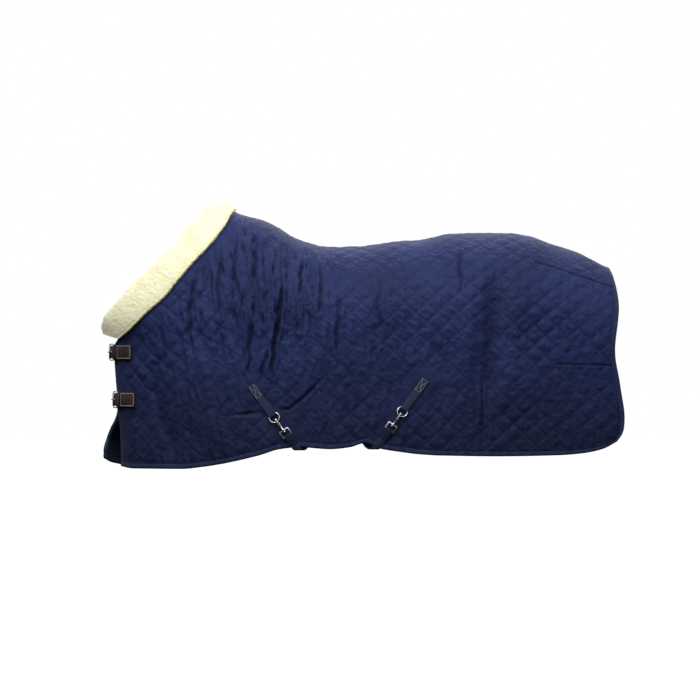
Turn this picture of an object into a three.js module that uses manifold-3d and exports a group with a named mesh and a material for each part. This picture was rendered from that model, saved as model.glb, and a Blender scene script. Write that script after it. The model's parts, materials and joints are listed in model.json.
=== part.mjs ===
// Quilted turnout rug for a horse, fastened as worn: two chest straps with roller buckles and
// two crossed belly straps clipped to D-rings. Millimetres, +Z up, the head towards -X, the
// near side towards -Y. The origin is on the lining, above the spine, at the lowest of the back.
import * as THREE from 'three';
import { mergeVertices } from 'three/addons/utils/BufferGeometryUtils.js';
import Module from 'manifold-3d';

const wasm = await Module();
wasm.setup();

const NEAR = -1;
const OFF = 1;

// Rug body
const backLength = 1387;        // spine, from the neck seam to the tail
const neckSeamX = -394;
const barrelHalfWidth = 304;
const chestDepth = 350;         // how far back the chest keeps widening
const neckTaper = 60;           // how much slimmer the rug is beside the neck
const shellThickness = 1.8;
const waddingThickness = 9.6;
const liningThickness = 1.4;
const layerGap = 0.4;
const bindingWidth = 18;
const bindingProud = 0.8;
const bindingGap = 2.8;         // seam between a binding and the layers inside it
const spineTapeWidth = 40;
const spineTapeThickness = 1.4;

// Fleece collar
const collarInside = 10;        // below the rug's outer face
const collarOutside = 16;       // above it

// Chest straps
const chestStraps = [{ name: 'upper', height: -370 }, { name: 'lower', height: -544 }];
const leatherThickness = 2.6;
const chapeWidth = 52;
const billetWidth = 46;
const buckleLength = 40;        // heel bar to front bar
const buckleWire = 4.5;
const chapeClearance = 1;       // chape to the side bars
const billetClearance = 4;      // billet to the side bars, past the frame's rounded corners
const rollerDiameter = 8;
const prongWidth = 4.4;
const prongHeight = 3.5;
const heelAngle = 18;           // degrees round the chest from its foremost line
const chapeEndAngle = 39;
const patchAngles = [-18, -42];
const billetEndAngle = -38;
const billetHoleDiameter = 5;
const billetHolePitch = 25;
const billetTip = 17;           // past the heel bar
const chestStandOff = 3.2;      // straps lie just off the quilted face

// Belly straps
const webbingWidth = 28;
const webbingThickness = 2.4;
const strapLean = 36;           // degrees from straight down
const frontPatch = { x: -308, z: -512 };
const rearPatch = { x: 296, z: -491 };
const tabStart = -27;           // along the strap, from the middle of the box stitch
const hookAt = 136;             // where the hook hangs on the ring's wire
const ringShoulder = 4.6;       // ring's wire past the edge of the webbing
const ringSlack = 1;            // half the ring's bar past the edge of the webbing
const foldBack = 50.2;          // sewn end of a strap, to its furthest corner
const ringWire = 5;
const ringTilt = 11.7;
const eyeWire = 4;
const eyeLength = 24;
const stemDiameter = 6;
const hookThickness = 6;
const sliderLength = 22;
const sliderAt = 150;
const nearTurnZ = -724;         // where a strap turns under the hem
const offTurnZ = -712;
const crossingZ = { front: -684, rear: -692 };

const gap = 0.4;                // between pieces that touch

const clamp = THREE.MathUtils.clamp;
const rad = THREE.MathUtils.degToRad;
const lerp = THREE.MathUtils.lerp;
const vec = (x, y, z) => new THREE.Vector3(x, y, z);

const finish = (color, roughness, metalness = 0) =>
  new THREE.MeshStandardMaterial({ color, roughness, metalness });
const navyShell = finish(0x2a3052, 0.75);
const navyTrim = finish(0x3d4668, 0.7);
const waddingWhite = finish(0xe8e8e4, 0.95);
const liningNavy = finish(0x20253c, 0.6);
const fleece = finish(0xf2efd2, 0.95);
const leather = finish(0x3f3330, 0.55);
const steel = finish(0xb9bbbd, 0.3, 1);
const strapWebbing = finish(0x23283e, 0.8);

const model = new THREE.Group();

// ---------- shared geometry ----------

// A smooth curve through points, read as height over the first value, that never overshoots.
function through(points) {
  const steps = points.slice(1).map(([x, z], i) => (z - points[i][1]) / (x - points[i][0]));
  const slope = points.map((_, i) => {
    const before = steps[Math.max(i - 1, 0)];
    const after = steps[Math.min(i, steps.length - 1)];
    return before * after > 0 ? (2 * before * after) / (before + after) : 0;
  });
  return (x) => {
    let i = 0;
    while (i < points.length - 2 && x > points[i + 1][0]) i += 1;
    const span = points[i + 1][0] - points[i][0];
    const t = clamp((x - points[i][0]) / span, 0, 1);
    const t2 = t * t;
    const t3 = t2 * t;
    return (2 * t3 - 3 * t2 + 1) * points[i][1] + (t3 - 2 * t2 + t) * span * slope[i]
      + (3 * t2 - 2 * t3) * points[i + 1][1] + (t3 - t2) * span * slope[i + 1];
  };
}

const arch = (share) => Math.sqrt(clamp(share, 0, 1) * (2 - clamp(share, 0, 1)));
const ease = (t) => THREE.MathUtils.smoothstep(t, 0, 1);

function closedMesh(points, triangles) {
  const geometry = new THREE.BufferGeometry();
  let volume = 0;
  for (const [a, b, c] of triangles) {
    volume += points[a].dot(points[b].clone().cross(points[c]));
  }
  const facing = volume > 0 ? triangles : triangles.map(([a, b, c]) => [a, c, b]);
  geometry.setAttribute('position',
    new THREE.Float32BufferAttribute(points.flatMap((p) => p.toArray()), 3));
  geometry.setIndex(facing.flat());
  return geometry;
}

// A solid through rings of points, with flat ends, or joined round into a loop.
function loft(rings, looped = false) {
  const size = rings[0].length;
  const triangles = [];
  const last = looped ? rings.length : rings.length - 1;
  for (let i = 0; i < last; i += 1) {
    const here = i * size;
    const next = ((i + 1) % rings.length) * size;
    for (let j = 0; j < size; j += 1) {
      const k = (j + 1) % size;
      triangles.push([here + j, here + k, next + k], [here + j, next + k, next + j]);
    }
  }
  if (!looped) {
    const end = (rings.length - 1) * size;
    for (let j = 1; j < size - 1; j += 1) {
      triangles.push([0, j + 1, j], [end, end + j, end + j + 1]);
    }
  }
  return closedMesh(rings.flat(), triangles);
}

// A round bar along a path that lies in the plane with this normal.
function bar(path, diameter, planeNormal, looped = false, sides = 8) {
  const rings = path.map((point, i) => {
    const before = looped ? path.at(i - 1) : path[Math.max(i - 1, 0)];
    const after = looped ? path[(i + 1) % path.length] : path[Math.min(i + 1, path.length - 1)];
    const across = after.clone().sub(before).cross(planeNormal).normalize();
    return Array.from({ length: sides }, (_, j) => {
      const angle = (2 * Math.PI * (j + 0.5)) / sides;
      return point.clone()
        .addScaledVector(across, (diameter / 2) * Math.cos(angle))
        .addScaledVector(planeNormal, (diameter / 2) * Math.sin(angle));
    });
  });
  return loft(rings, looped);
}

function prism(shape, depth, curveSegments = 6) {
  const geometry = new THREE.ExtrudeGeometry(shape, { depth, bevelEnabled: false, curveSegments });
  return geometry.translate(0, 0, -depth / 2);
}

// A prism whose outline is drawn in x and z, centred on y = 0.
const sidePrism = (shape, depth, segments) => prism(shape, depth, segments).rotateX(Math.PI / 2);

function rod(from, to, diameter, sides = 12) {
  const along = to.clone().sub(from);
  const geometry = new THREE.CylinderGeometry(diameter / 2, diameter / 2, along.length(), sides);
  const turn = new THREE.Quaternion().setFromUnitVectors(vec(0, 1, 0), along.clone().normalize());
  const middle = from.clone().add(to).multiplyScalar(0.5);
  return geometry.applyQuaternion(turn).translate(...middle.toArray());
}

function solid(geometry) {
  const bare = geometry.clone();
  bare.deleteAttribute('normal');
  bare.deleteAttribute('uv');
  const merged = mergeVertices(bare, 1e-4);
  return new wasm.Manifold(new wasm.Mesh({
    numProp: 3,
    vertProperties: new Float32Array(merged.attributes.position.array),
    triVerts: new Uint32Array(merged.index.array),
  }));
}

function shaped(result) {
  const { vertProperties, triVerts } = result.getMesh();
  const geometry = new THREE.BufferGeometry();
  geometry.setAttribute('position', new THREE.BufferAttribute(vertProperties, 3));
  geometry.setIndex(new THREE.BufferAttribute(triVerts, 1));
  return geometry;
}

const joined = (...pieces) => pieces.map(solid).reduce((whole, piece) => whole.add(piece));

function add(parent, name, geometry, material) {
  const mesh = new THREE.Mesh(geometry, material);
  mesh.name = name;
  parent.add(mesh);
  return mesh;
}

const outline = (points) => new THREE.Shape(points.map(([x, y]) => new THREE.Vector2(x, y)));

function roundHole(x, y, diameter) {
  return new THREE.Path().absarc(x, y, diameter / 2, 0, 2 * Math.PI, true);
}

// ---------- the rug's form: its outer face, one function of place ----------

// Places behind the neck seam are written for a back of 1387, half widths for a barrel of 304.
const stretch = backLength / 1387;
const widening = barrelHalfWidth / 304;
const backward = (x) => (x > neckSeamX ? neckSeamX + (x - neckSeamX) * stretch : x);
const alongBack = (points) => points.map(([x, value]) => [backward(x), value]);

const tailX = neckSeamX + backLength;
const hemRearX = backward(1008);
const topline = through(alongBack([[-900, 780], [-700, 500], [-600, 375], [-500, 262], [-450, 205],
  [-420, 170], [neckSeamX, 149], [-265, 109], [-146, 43], [-36, 18], [73, 21], [219, 40],
  [292, 44], [401, 66], [510, 70], [620, 69], [694, 58], [767, 32], [876, -4], [949, -41],
  [993, -63], [1100, -125]]));
const halfWidthAt = through(alongBack([[-1000, 200], [-850, 222], [-700, 240], [-560, 262],
  [-420, 292], [-345, 304], [400, 304], [600, 298], [800, 282], [950, 260], [1100, 232]])
  .map(([x, half]) => [x, half * widening]));
const shoulderDropAt = through(alongBack([[-900, 560], [-544, 500], [-400, 420], [-200, 340],
  [0, 300], [600, 285], [1100, 300]]));
const chestUpper = [[-333, -841], [-289, -862], [-245, -887], [-150, -918], [0, -968],
  [200, -1045], [800, -1250]];
const chestLine = {
  [NEAR]: through([[-900, -812], [-793, -812], [-700, -812], [-640, -816], [-585, -821],
    [-544, -824], [-500, -828], [-442, -834], [-380, -836], ...chestUpper]),
  [OFF]: through([[-900, -880], [-763, -880], [-700, -876], [-660, -858], [-600, -831],
    [-544, -829], [-500, -831], [-442, -834], [-380, -836], ...chestUpper]),
};

function halfWidth(side, x, z) {
  const beside = neckTaper * ease((z + 300) / 400) * ease((-300 - x) / 250);
  return (halfWidthAt(x) - beside)
    * arch((topline(x) - z) / shoulderDropAt(x))
    * arch((x - chestLine[side](z)) / chestDepth);
}

const onFace = (side, x, z) => vec(x, side * (halfWidth(side, x, z) + layerGap), z);

// The seam between rug and collar, from the withers down to the chest.
const neckSeam = [[neckSeamX, 149], [-409, 130], [-442, 76], [-489, 18], [-544, -41],
  [-595, -99], [-642, -158], [-708, -216], [-767, -274], [-812, -316]];
const collarEdge = [[-431, 183], [-460, 180], [-495, 155], [-547, 102], [-591, 44], [-646, -14],
  [-704, -72], [-767, -130], [-820, -190], [-856, -240], [-868, -290]];
const edgeInset = chestDepth * (1 - Math.cos(rad(10)));
const closureHeights = [-352, -410, -480, -544, -600, -660, -720];
const rearEdge = alongBack([[993, -63], [1004, -95], [1021, -194], [1004, -369], [1021, -479],
  [1039, -610], [1032, -664], [1008, -697]]);
const hemRear = alongBack([[-438, -778], [-365, -763], [-292, -745], [-219, -723], [-146, -716],
  [-36, -723], [36, -716], [90, -701], [146, -721], [219, -733], [292, -742], [365, -746],
  [584, -749], [803, -745], [894, -737], [960, -722], [1008, -697]]);
const hem = {
  [NEAR]: through([[-803, -790], [-766, -796], [-584, -796], [-511, -789], ...hemRear]),
  [OFF]: through([[-872, -763], [-846, -778], [-766, -792], [-584, -796], [-511, -789],
    ...hemRear]),
};
const hemCornerX = { [NEAR]: -805, [OFF]: -872 };

const curveInSide = (points) =>
  new THREE.CatmullRomCurve3(points.map(([x, z]) => vec(x, 0, z)), false, 'centripetal');

function rugSide(side) {
  const corner = vec(hemCornerX[side], 0, hem[side](hemCornerX[side]));
  const closure = closureHeights.map((z) => [chestLine[side](z) + edgeInset, z]);
  const front = curveInSide([...neckSeam, ...closure, [corner.x, corner.z]]);
  const rear = curveInSide(rearEdge);
  const top = (u) => {
    const x = lerp(neckSeamX, tailX, u);
    return vec(x, 0, topline(x));
  };
  const bottom = (u) => {
    const x = lerp(corner.x, hemRearX, u);
    return vec(x, 0, hem[side](x));
  };
  // u runs from the front edge to the rear edge, f from the spine to the hem.
  const at = (u, f) => {
    const place = front.getPointAt(f).multiplyScalar(1 - u)
      .addScaledVector(rear.getPointAt(f), u)
      .addScaledVector(top(u), 1 - f)
      .addScaledVector(bottom(u), f)
      .addScaledVector(top(0), -(1 - u) * (1 - f))
      .addScaledVector(bottom(0), -(1 - u) * f)
      .addScaledVector(top(1), -u * (1 - f))
      .addScaledVector(bottom(1), -u * f);
    if (f === 0) place.z = topline(place.x);
    return onFace(side, place.x, place.z);
  };
  const normal = (u, f) => {
    const step = 1e-3;
    const along = at(Math.min(u + step, 1), f).sub(at(Math.max(u - step, 0), f));
    const down = at(u, Math.min(f + step, 1)).sub(at(u, Math.max(f - step, 0)));
    const out = along.cross(down).multiplyScalar(side);
    if (f === 0) out.y = 0;
    return out.normalize();
  };
  return { side, at, normal };
}

const sides = { left: rugSide(NEAR), right: rugSide(OFF) };

const columns = 20;
const shoulderRows = 6;
const skirtStart = 0.42;
const skirtShares = [0.51, 0.6, 0.7, 0.78, 0.86];
const pathLength = (points) =>
  points.slice(1).reduce((sum, point, i) => sum + point.distanceTo(points[i]), 0);
const samples = Array.from({ length: 41 }, (_, i) => i / 40);
const bindingU = bindingWidth / pathLength(samples.map((u) => sides.left.at(u, 0.6)));
const bindingF = bindingWidth / pathLength(samples.map((f) => sides.left.at(0.5, f)));
const gapU = (bindingU * bindingGap) / bindingWidth;
const gapF = (bindingF * bindingGap) / bindingWidth;

const panelU = Array.from({ length: columns + 1 },
  (_, i) => lerp(bindingU, 1 - bindingU, (i / columns) ** 1.6));
const panelF = [
  ...Array.from({ length: shoulderRows },
    (_, i) => skirtStart * (1 - Math.cos((Math.PI * i) / (2 * shoulderRows)))),
  skirtStart, ...skirtShares, 1 - bindingF,
];

// A piece of the rug between two depths under its outer face.
function layer(rug, us, fs, outer, inner) {
  const points = [];
  for (const depth of [outer, inner]) {
    for (const f of fs) {
      for (const u of us) points.push(rug.at(u, f).addScaledVector(rug.normal(u, f), depth));
    }
  }
  const wide = us.length;
  const sheet = wide * fs.length;
  const triangles = [];
  for (let j = 0; j < fs.length - 1; j += 1) {
    for (let i = 0; i < wide - 1; i += 1) {
      const a = j * wide + i;
      const [b, c, d] = [a + 1, a + wide + 1, a + wide];
      triangles.push([a, b, c], [a, c, d]);
      triangles.push([sheet + a, sheet + c, sheet + b], [sheet + a, sheet + d, sheet + c]);
    }
  }
  const rim = [];
  for (let i = 0; i < wide; i += 1) rim.push(i);
  for (let j = 1; j < fs.length; j += 1) rim.push(j * wide + wide - 1);
  for (let i = wide - 2; i >= 0; i -= 1) rim.push((fs.length - 1) * wide + i);
  for (let j = fs.length - 2; j > 0; j -= 1) rim.push(j * wide);
  rim.forEach((a, i) => {
    const b = rim[(i + 1) % rim.length];
    triangles.push([a, sheet + a, sheet + b], [a, sheet + b, b]);
  });
  return closedMesh(points, triangles);
}

function addRugSide(name, rug) {
  const shellIn = -shellThickness;
  const waddingOut = shellIn - layerGap;
  const waddingIn = waddingOut - waddingThickness;
  const liningOut = waddingIn - layerGap;
  const liningIn = liningOut - liningThickness;
  const bindingIn = liningIn - bindingProud;
  const inner = [panelU, panelF];
  add(model, `outer_shell_${name}`, layer(rug, ...inner, 0, shellIn), navyShell);
  add(model, `wadding_${name}`, layer(rug, ...inner, waddingOut, waddingIn), waddingWhite);
  add(model, `lining_${name}`, layer(rug, ...inner, liningOut, liningIn), liningNavy);
  const frontU = [0, bindingU - gapU];
  const rearU = [1 - bindingU + gapU, 1];
  const hemU = [0, ...panelU, 1];
  const hemF = [1 - bindingF + gapF, 1];
  const bind = (us, fs) => layer(rug, us, fs, bindingProud, bindingIn);
  add(model, `front_binding_${name}`, bind(frontU, panelF), navyTrim);
  add(model, `rear_binding_${name}`, bind(rearU, panelF), navyTrim);
  add(model, `hem_binding_${name}`, bind(hemU, hemF), navyTrim);
  return liningIn;
}

// The tape lies under the spine seam, against the lining's first row of facets.
function addSpineTape(liningIn) {
  const edgeOf = (rug, u) => {
    const inside = (f) => rug.at(u, f).addScaledVector(rug.normal(u, f), liningIn);
    const seam = inside(0);
    const next = inside(panelF[1]);
    const share = (spineTapeWidth / 2) / Math.abs(next.y);
    return [seam, seam.clone().lerp(next, share)];
  };
  const rings = panelU.map((u) => {
    const [seam, nearEdge] = edgeOf(sides.left, u);
    const [, offEdge] = edgeOf(sides.right, u);
    seam.y = 0;
    const top = [nearEdge, seam, offEdge].map((p) => p.clone().add(vec(0, 0, -gap - 0.6)));
    const low = [offEdge, seam, nearEdge].map(
      (p) => p.clone().add(vec(0, 0, -gap - 0.6 - spineTapeThickness)));
    return [...top, ...low];
  });
  add(model, 'spine_seam_tape', loft(rings), liningNavy);
}

// ---------- fleece collar ----------

function addCollar() {
  const inner = curveInSide(neckSeam);
  const outer = curveInSide(collarEdge);
  const section = [[0.055, 0.1], [0.055, 0.75], [0.2, 1], [0.5, 1.08], [0.82, 0.98], [1, 0.55],
    [1, 0.25], [0.85, 0], [0.5, -0.04], [0.2, 0]];
  const steps = 14;
  const station = (side, s) => {
    const [from, to] = [inner.getPointAt(s), outer.getPointAt(s)];
    const surface = (t) => {
      const place = from.clone().lerp(to, t);
      const flat = s === 0 ? 0 : halfWidth(side, place.x, place.z);
      return vec(place.x, side * flat, place.z);
    };
    return section.map(([t, rise]) => {
      const across = surface(Math.min(t + 0.05, 1)).sub(surface(Math.max(t - 0.05, 0)));
      const probe = Math.max(s, 0.02);
      const a = inner.getPointAt(probe).lerp(outer.getPointAt(probe), t);
      const b = inner.getPointAt(Math.min(probe + 0.02, 1))
        .lerp(outer.getPointAt(Math.min(probe + 0.02, 1)), t);
      const along = s === 0 ? vec(0, side, 0)
        : vec(b.x, side * halfWidth(side, b.x, b.z), b.z)
          .sub(vec(a.x, side * halfWidth(side, a.x, a.z), a.z));
      const out = across.cross(along).multiplyScalar(-side).normalize();
      if (s === 1) out.set(-0.75, side * 0.66, 0);
      const depth = lerp(-collarInside, collarOutside, rise);
      return surface(t).addScaledVector(out, depth);
    });
  };
  const shares = Array.from({ length: steps + 1 }, (_, i) => (i / steps) ** 1.15 * 0.97);
  const rings = [
    ...shares.slice(1).reverse().map((s) => station(NEAR, s)),
    station(NEAR, 0),
    ...shares.slice(1).map((s) => station(OFF, s)),
  ];
  add(model, 'fleece_collar', loft(rings), fleece);
}

// ---------- chest straps ----------

// A point round the chest at one height, raised from the rug's outer face. The angle is 0 at
// the foremost line, positive on the near side and negative on the off side.
function chestPoint(height, angle, rise) {
  const band = [-0.5, -0.25, 0, 0.25, 0.5].map((share) => height + share * chapeWidth);
  const foremost = (side) => Math.min(...band.map(chestLine[side]));
  const place = (degrees) => {
    const towardNear = ease(0.5 + degrees / 20);
    const x = lerp(foremost(OFF), foremost(NEAR), towardNear)
      + chestDepth * (1 - Math.cos(rad(degrees)));
    return vec(x, -halfWidthAt(x) * Math.sin(rad(degrees)), height);
  };
  const tangent = place(angle + 0.5).sub(place(angle - 0.5)).normalize();
  const out = vec(tangent.y, -tangent.x, 0);
  return place(angle).addScaledVector(out, chestStandOff + rise);
}

const angles = (from, to, steps) =>
  Array.from({ length: steps + 1 }, (_, i) => lerp(from, to, i / steps));

// A strap seen from above: its thickness round a path of points.
function ribbon(path, thickness) {
  const offset = (sign) => path.map((point, i) => {
    const before = path[Math.max(i - 1, 0)];
    const after = path[Math.min(i + 1, path.length - 1)];
    const along = after.clone().sub(before).normalize();
    return [point.x - sign * along.y * (thickness / 2), point.y + sign * along.x * (thickness / 2)];
  });
  return outline([...offset(1), ...offset(-1).reverse()]);
}

const loopWall = 2.4;
const barHole = buckleWire + 2 * gap;
const loopDiameter = barHole + 2 * loopWall;
const heelRise = gap + loopDiameter / 2;
const frontRise = gap + leatherThickness + gap + rollerDiameter / 2;

function buckleFrame(height) {
  const heel = chestPoint(height, heelAngle, heelRise);
  let frontAngle = heelAngle;
  while (chestPoint(height, frontAngle, frontRise).distanceTo(heel) < buckleLength) {
    frontAngle -= 0.05;
  }
  const front = chestPoint(height, frontAngle, frontRise);
  const along = front.clone().sub(heel).normalize();
  return { heel, front, along, out: vec(-along.y, along.x, 0), frontAngle };
}

function addChestStrap({ name, height }) {
  const { heel, front, along, out, frontAngle } = buckleFrame(height);
  const inFrame = (a, r, z = height) =>
    heel.clone().addScaledVector(along, a).addScaledVector(out, r).setZ(z);
  const upright = (geometry) => geometry.translate(0, 0, height);
  const half = leatherThickness / 2;

  // Chape: sewn on the near flap, folded round the heel bar, slotted for the prong.
  const chapePath = angles(chapeEndAngle, heelAngle, 8)
    .map((angle) => chestPoint(height, angle, gap + half));
  const loopOuter = upright(new THREE.CylinderGeometry(loopDiameter / 2, loopDiameter / 2,
    chapeWidth, 20).rotateX(Math.PI / 2).translate(heel.x, heel.y, 0));
  const loopInner = upright(new THREE.CylinderGeometry(barHole / 2, barHole / 2,
    chapeWidth + 2, 16).rotateX(Math.PI / 2).translate(heel.x, heel.y, 0));
  const prongSlot = loft([-1, 1].map((end) => [[-9, -9], [9, -9], [9, 9], [-9, 9]].map(
    ([a, r]) => inFrame(a, r, height + end * (prongWidth / 2 + 1.2)))));
  const chape = joined(upright(prism(ribbon(chapePath, leatherThickness), chapeWidth)), loopOuter)
    .subtract(solid(loopInner)).subtract(solid(prongSlot));
  add(model, `chest_chape_${name}`, shaped(chape), leather);

  // Patch on the off flap under the sewn end of the billet.
  const patchPath = angles(...patchAngles, 8).map((angle) => chestPoint(height, angle, gap + half));
  add(model, `chest_patch_${name}`,
    upright(prism(ribbon(patchPath, leatherThickness), chapeWidth)), leather);

  // Billet: over the patch, across the front, under the roller, over the heel bar to its tip.
  const riseOver = heelRise + loopDiameter / 2 + gap + half;
  const onPatch = gap + leatherThickness + gap + half;
  const billetPath = [
    ...angles(billetEndAngle, -16, 6).map((angle) => chestPoint(height, angle, onPatch)),
    ...angles(-11, -2, 3).map((angle) => chestPoint(height, angle, gap + half)),
    ...angles(2, frontAngle, 2).map((angle) => chestPoint(height, angle, gap + half)),
    inFrame(buckleLength - 6.5, gap + half - heelRise),
    inFrame(8, riseOver - heelRise - 1.2),
    inFrame(0, riseOver - heelRise),
    inFrame(-7, riseOver - heelRise - 1.6),
    inFrame(-billetTip, onPatch + 1 - heelRise),
  ];
  let billet = solid(upright(prism(ribbon(billetPath, leatherThickness), billetWidth)));
  const slot = loft([-1, 1].map((end) => [[2.5, -12], [23, -12], [23, 16], [2.5, 16]].map(
    ([a, r]) => inFrame(a, r, height + end * (prongWidth / 2 + 1)))));
  billet = billet.subtract(solid(slot));
  for (const step of [1, 2]) {
    const angle = frontAngle - (step * billetHolePitch * 180) / (Math.PI * barrelHalfWidth * 0.72);
    const drill = [-6, 8].map((rise) => chestPoint(height, angle - 6, rise));
    billet = billet.subtract(solid(rod(...drill, billetHoleDiameter)));
  }
  add(model, `chest_billet_${name}`, shaped(billet), leather);

  // Buckle: frame on the heel bar, roller on the front bar, prong between them.
  const opening = Math.max(chapeWidth + 2 * chapeClearance, billetWidth + 2 * billetClearance);
  const reach = (opening + buckleWire) / 2;
  const corner = 4;
  const framePath = [[0, -reach + corner], [0, 0], [0, reach - corner], [corner / 3, reach - 1.2],
    [corner, reach], [buckleLength - corner, reach], [buckleLength - corner / 3, reach - 1.2],
    [buckleLength, reach - corner], [buckleLength, 0], [buckleLength, -reach + corner],
    [buckleLength - corner / 3, -reach + 1.2], [buckleLength - corner, -reach],
    [corner, -reach], [corner / 3, -reach + 1.2]].map(([a, h]) => inFrame(a, 0, height + h));
  add(model, `buckle_frame_${name}`, bar(framePath, buckleWire, out, true), steel);

  const rollerHalf = reach - corner - 1.5;
  const rollerShape = new THREE.Shape().absarc(0, 0, rollerDiameter / 2, 0, 2 * Math.PI);
  rollerShape.holes.push(roundHole(0, 0, buckleWire + 2 * gap));
  const roller = add(model, `buckle_roller_${name}`, prism(rollerShape, 2 * rollerHalf, 8), steel);
  roller.position.copy(front);

  const prongEye = new THREE.Shape().absarc(0, 0, barHole / 2 + 1.9, 0, 2 * Math.PI);
  prongEye.holes.push(roundHole(0, 0, barHole));
  const eyePiece = prism(prongEye, prongWidth, 10).translate(heel.x, heel.y, height);
  const tipRise = rollerDiameter / 2 + gap + prongHeight / 2 + 0.3;
  const prongRun = [[3.6, 0.8], [16, 3.6], [buckleLength - 4, tipRise],
    [buckleLength + 4, tipRise - 0.6]].map(([a, r]) => inFrame(a, r));
  const prongBar = upright(prism(ribbon(prongRun, prongHeight), prongWidth));
  add(model, `buckle_prong_${name}`, shaped(joined(eyePiece, prongBar)), steel);
}

// ---------- belly straps ----------

const lean = rad(strapLean);
const onBarrel = ({ x, z }) => ({ x: backward(x), z });
const bellyFittings = [
  { name: 'front', patch: onBarrel(frontPatch), run: 1, farPatch: onBarrel(rearPatch) },
  { name: 'rear', patch: onBarrel(rearPatch), run: -1, farPatch: onBarrel(frontPatch) },
];

// On one flank: x runs down the strap, y across it and z out of the rug.
function strapAxes(side, run) {
  const down = vec(run * Math.sin(lean), 0, -Math.cos(lean));
  const out = vec(0, side, 0);
  return { down, out, across: out.clone().cross(down) };
}

function strapGroup(side, patch, run) {
  const { down, out, across } = strapAxes(side, run);
  const group = new THREE.Group();
  group.position.set(patch.x, side * (barrelHalfWidth + layerGap), patch.z);
  group.setRotationFromMatrix(new THREE.Matrix4().makeBasis(down, across, out));
  model.add(group);
  return group;
}

const ringRadius = webbingWidth / 2 + ringShoulder;
const ringCentre = Math.sqrt(ringRadius ** 2 - (webbingWidth / 2 + ringSlack) ** 2);
const ringReach = ringCentre + ringRadius;
const ringBarAt = hookAt - ringReach * Math.cos(rad(ringTilt));
const barRise = gap + webbingThickness + gap + ringWire / 2 + 0.2;
const wireRise = barRise + ringReach * Math.sin(rad(ringTilt));
const stemRise = wireRise + 2;
const eyeBarAt = hookAt + 40;
const eyeFarAt = eyeBarAt + eyeLength;
const strapEndAt = eyeFarAt + foldBack - (webbingWidth / 2) * Math.tan(lean);

function addTab(group, name) {
  const turn = webbingThickness + gap + ringWire / 2;
  const tab = outline([[tabStart, gap], [ringBarAt - 6, gap],
    [ringBarAt - 2, barRise - turn + 0.4]]);
  tab.absarc(ringBarAt, barRise, turn, -Math.PI / 2, Math.PI / 2);
  tab.lineTo(ringBarAt - 12, gap + 2 * webbingThickness);
  tab.lineTo(tabStart, gap + 2 * webbingThickness);
  tab.holes.push(roundHole(ringBarAt, barRise, ringWire + 2 * gap));
  add(group, `belly_tab_${name}`, sidePrism(tab, webbingWidth), strapWebbing);
}

function addRing(group, name) {
  const start = Math.asin((webbingWidth / 2 + ringSlack) / ringRadius);
  const sweep = angles(-180 + THREE.MathUtils.radToDeg(start),
    180 - THREE.MathUtils.radToDeg(start), 20);
  const path = [...sweep.map((degrees) => vec(ringCentre + ringRadius * Math.cos(rad(degrees)),
    ringRadius * Math.sin(rad(degrees)), 0)), vec(0, 0, 0)];
  const ring = add(group, `belly_ring_${name}`, bar(path, ringWire, vec(0, 0, 1), true), steel);
  ring.position.set(ringBarAt, 0, barRise);
  ring.rotation.y = -rad(ringTilt);
}

// The hook is drawn round the ring's wire, which passes through it at its origin.
const hookLeft = -11.5;
const hookRight = 17;
const hookLow = -9;
const hookHigh = 12.5;
const gatePin = { x: 15, z: 10.75 };

function addSnapHook(group, name) {
  const hook = new THREE.Shape();
  hook.moveTo(hookRight, hookLow + 3);
  hook.lineTo(hookRight, 8.7);
  hook.lineTo(13, 8.7);
  hook.lineTo(13, -2);
  hook.quadraticCurveTo(13, -5, 10, -5);
  hook.lineTo(-4, -5);
  hook.quadraticCurveTo(-8, -5, -8, -1);
  hook.lineTo(-8, 6);
  hook.quadraticCurveTo(-8, 9, -5, 9);
  hook.lineTo(-3.2, 9);
  hook.lineTo(-3.2, hookHigh);
  hook.lineTo(-6.5, hookHigh);
  hook.quadraticCurveTo(hookLeft, hookHigh, hookLeft, 7.5);
  hook.lineTo(hookLeft, -3.5);
  hook.quadraticCurveTo(hookLeft, hookLow, -6, hookLow);
  hook.lineTo(12, hookLow);
  hook.quadraticCurveTo(hookRight, hookLow, hookRight, hookLow + 3);
  const plate = sidePrism(hook, hookThickness, 4);
  const ear = outline([[13, 5], [17, 5], [17.8, gatePin.z], [15, gatePin.z + 2.8],
    [12.2, gatePin.z]]);
  const earWall = 1.4;
  const ears = [-1, 1].map((end) => sidePrism(ear, earWall)
    .translate(0, end * (hookThickness / 2 + 0.6 - earWall / 2), 0));
  const stemEnd = eyeBarAt - hookAt + eyeWire / 2 + 1.4;
  const stem = rod(vec(hookRight - 1, 0, 2), vec(stemEnd, 0, 2), stemDiameter);
  const head = rod(vec(stemEnd - 0.5, 0, 2), vec(stemEnd + 3.5, 0, 2), stemDiameter + 4);
  const pinHole = rod(vec(gatePin.x, -8, gatePin.z), vec(gatePin.x, 8, gatePin.z), 2.6);
  const body = joined(plate, ...ears, stem, head).subtract(solid(pinHole));
  const snap = add(group, `snap_hook_${name}`, shaped(body), steel);
  snap.position.set(hookAt, 0, wireRise);

  const gateShape = outline([[-2.7, 9.2], [11, 9.2], [13.6, 9.6], [16.6, 9.6], [16.6, 12],
    [10.5, 12.2], [9, 14.6], [5.5, 14.6], [4, 12.2], [-2.7, 12.2]]);
  const gateThickness = 2 * (hookThickness / 2 + 0.6 - earWall - gap);
  const gateBar = sidePrism(gateShape, gateThickness);
  const pin = rod(vec(gatePin.x, -hookThickness / 2 - 0.6, gatePin.z),
    vec(gatePin.x, hookThickness / 2 + 0.6, gatePin.z), 2);
  const gate = add(group, `snap_gate_${name}`, shaped(joined(gateBar, pin)), steel);
  gate.position.copy(snap.position);
}

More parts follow.
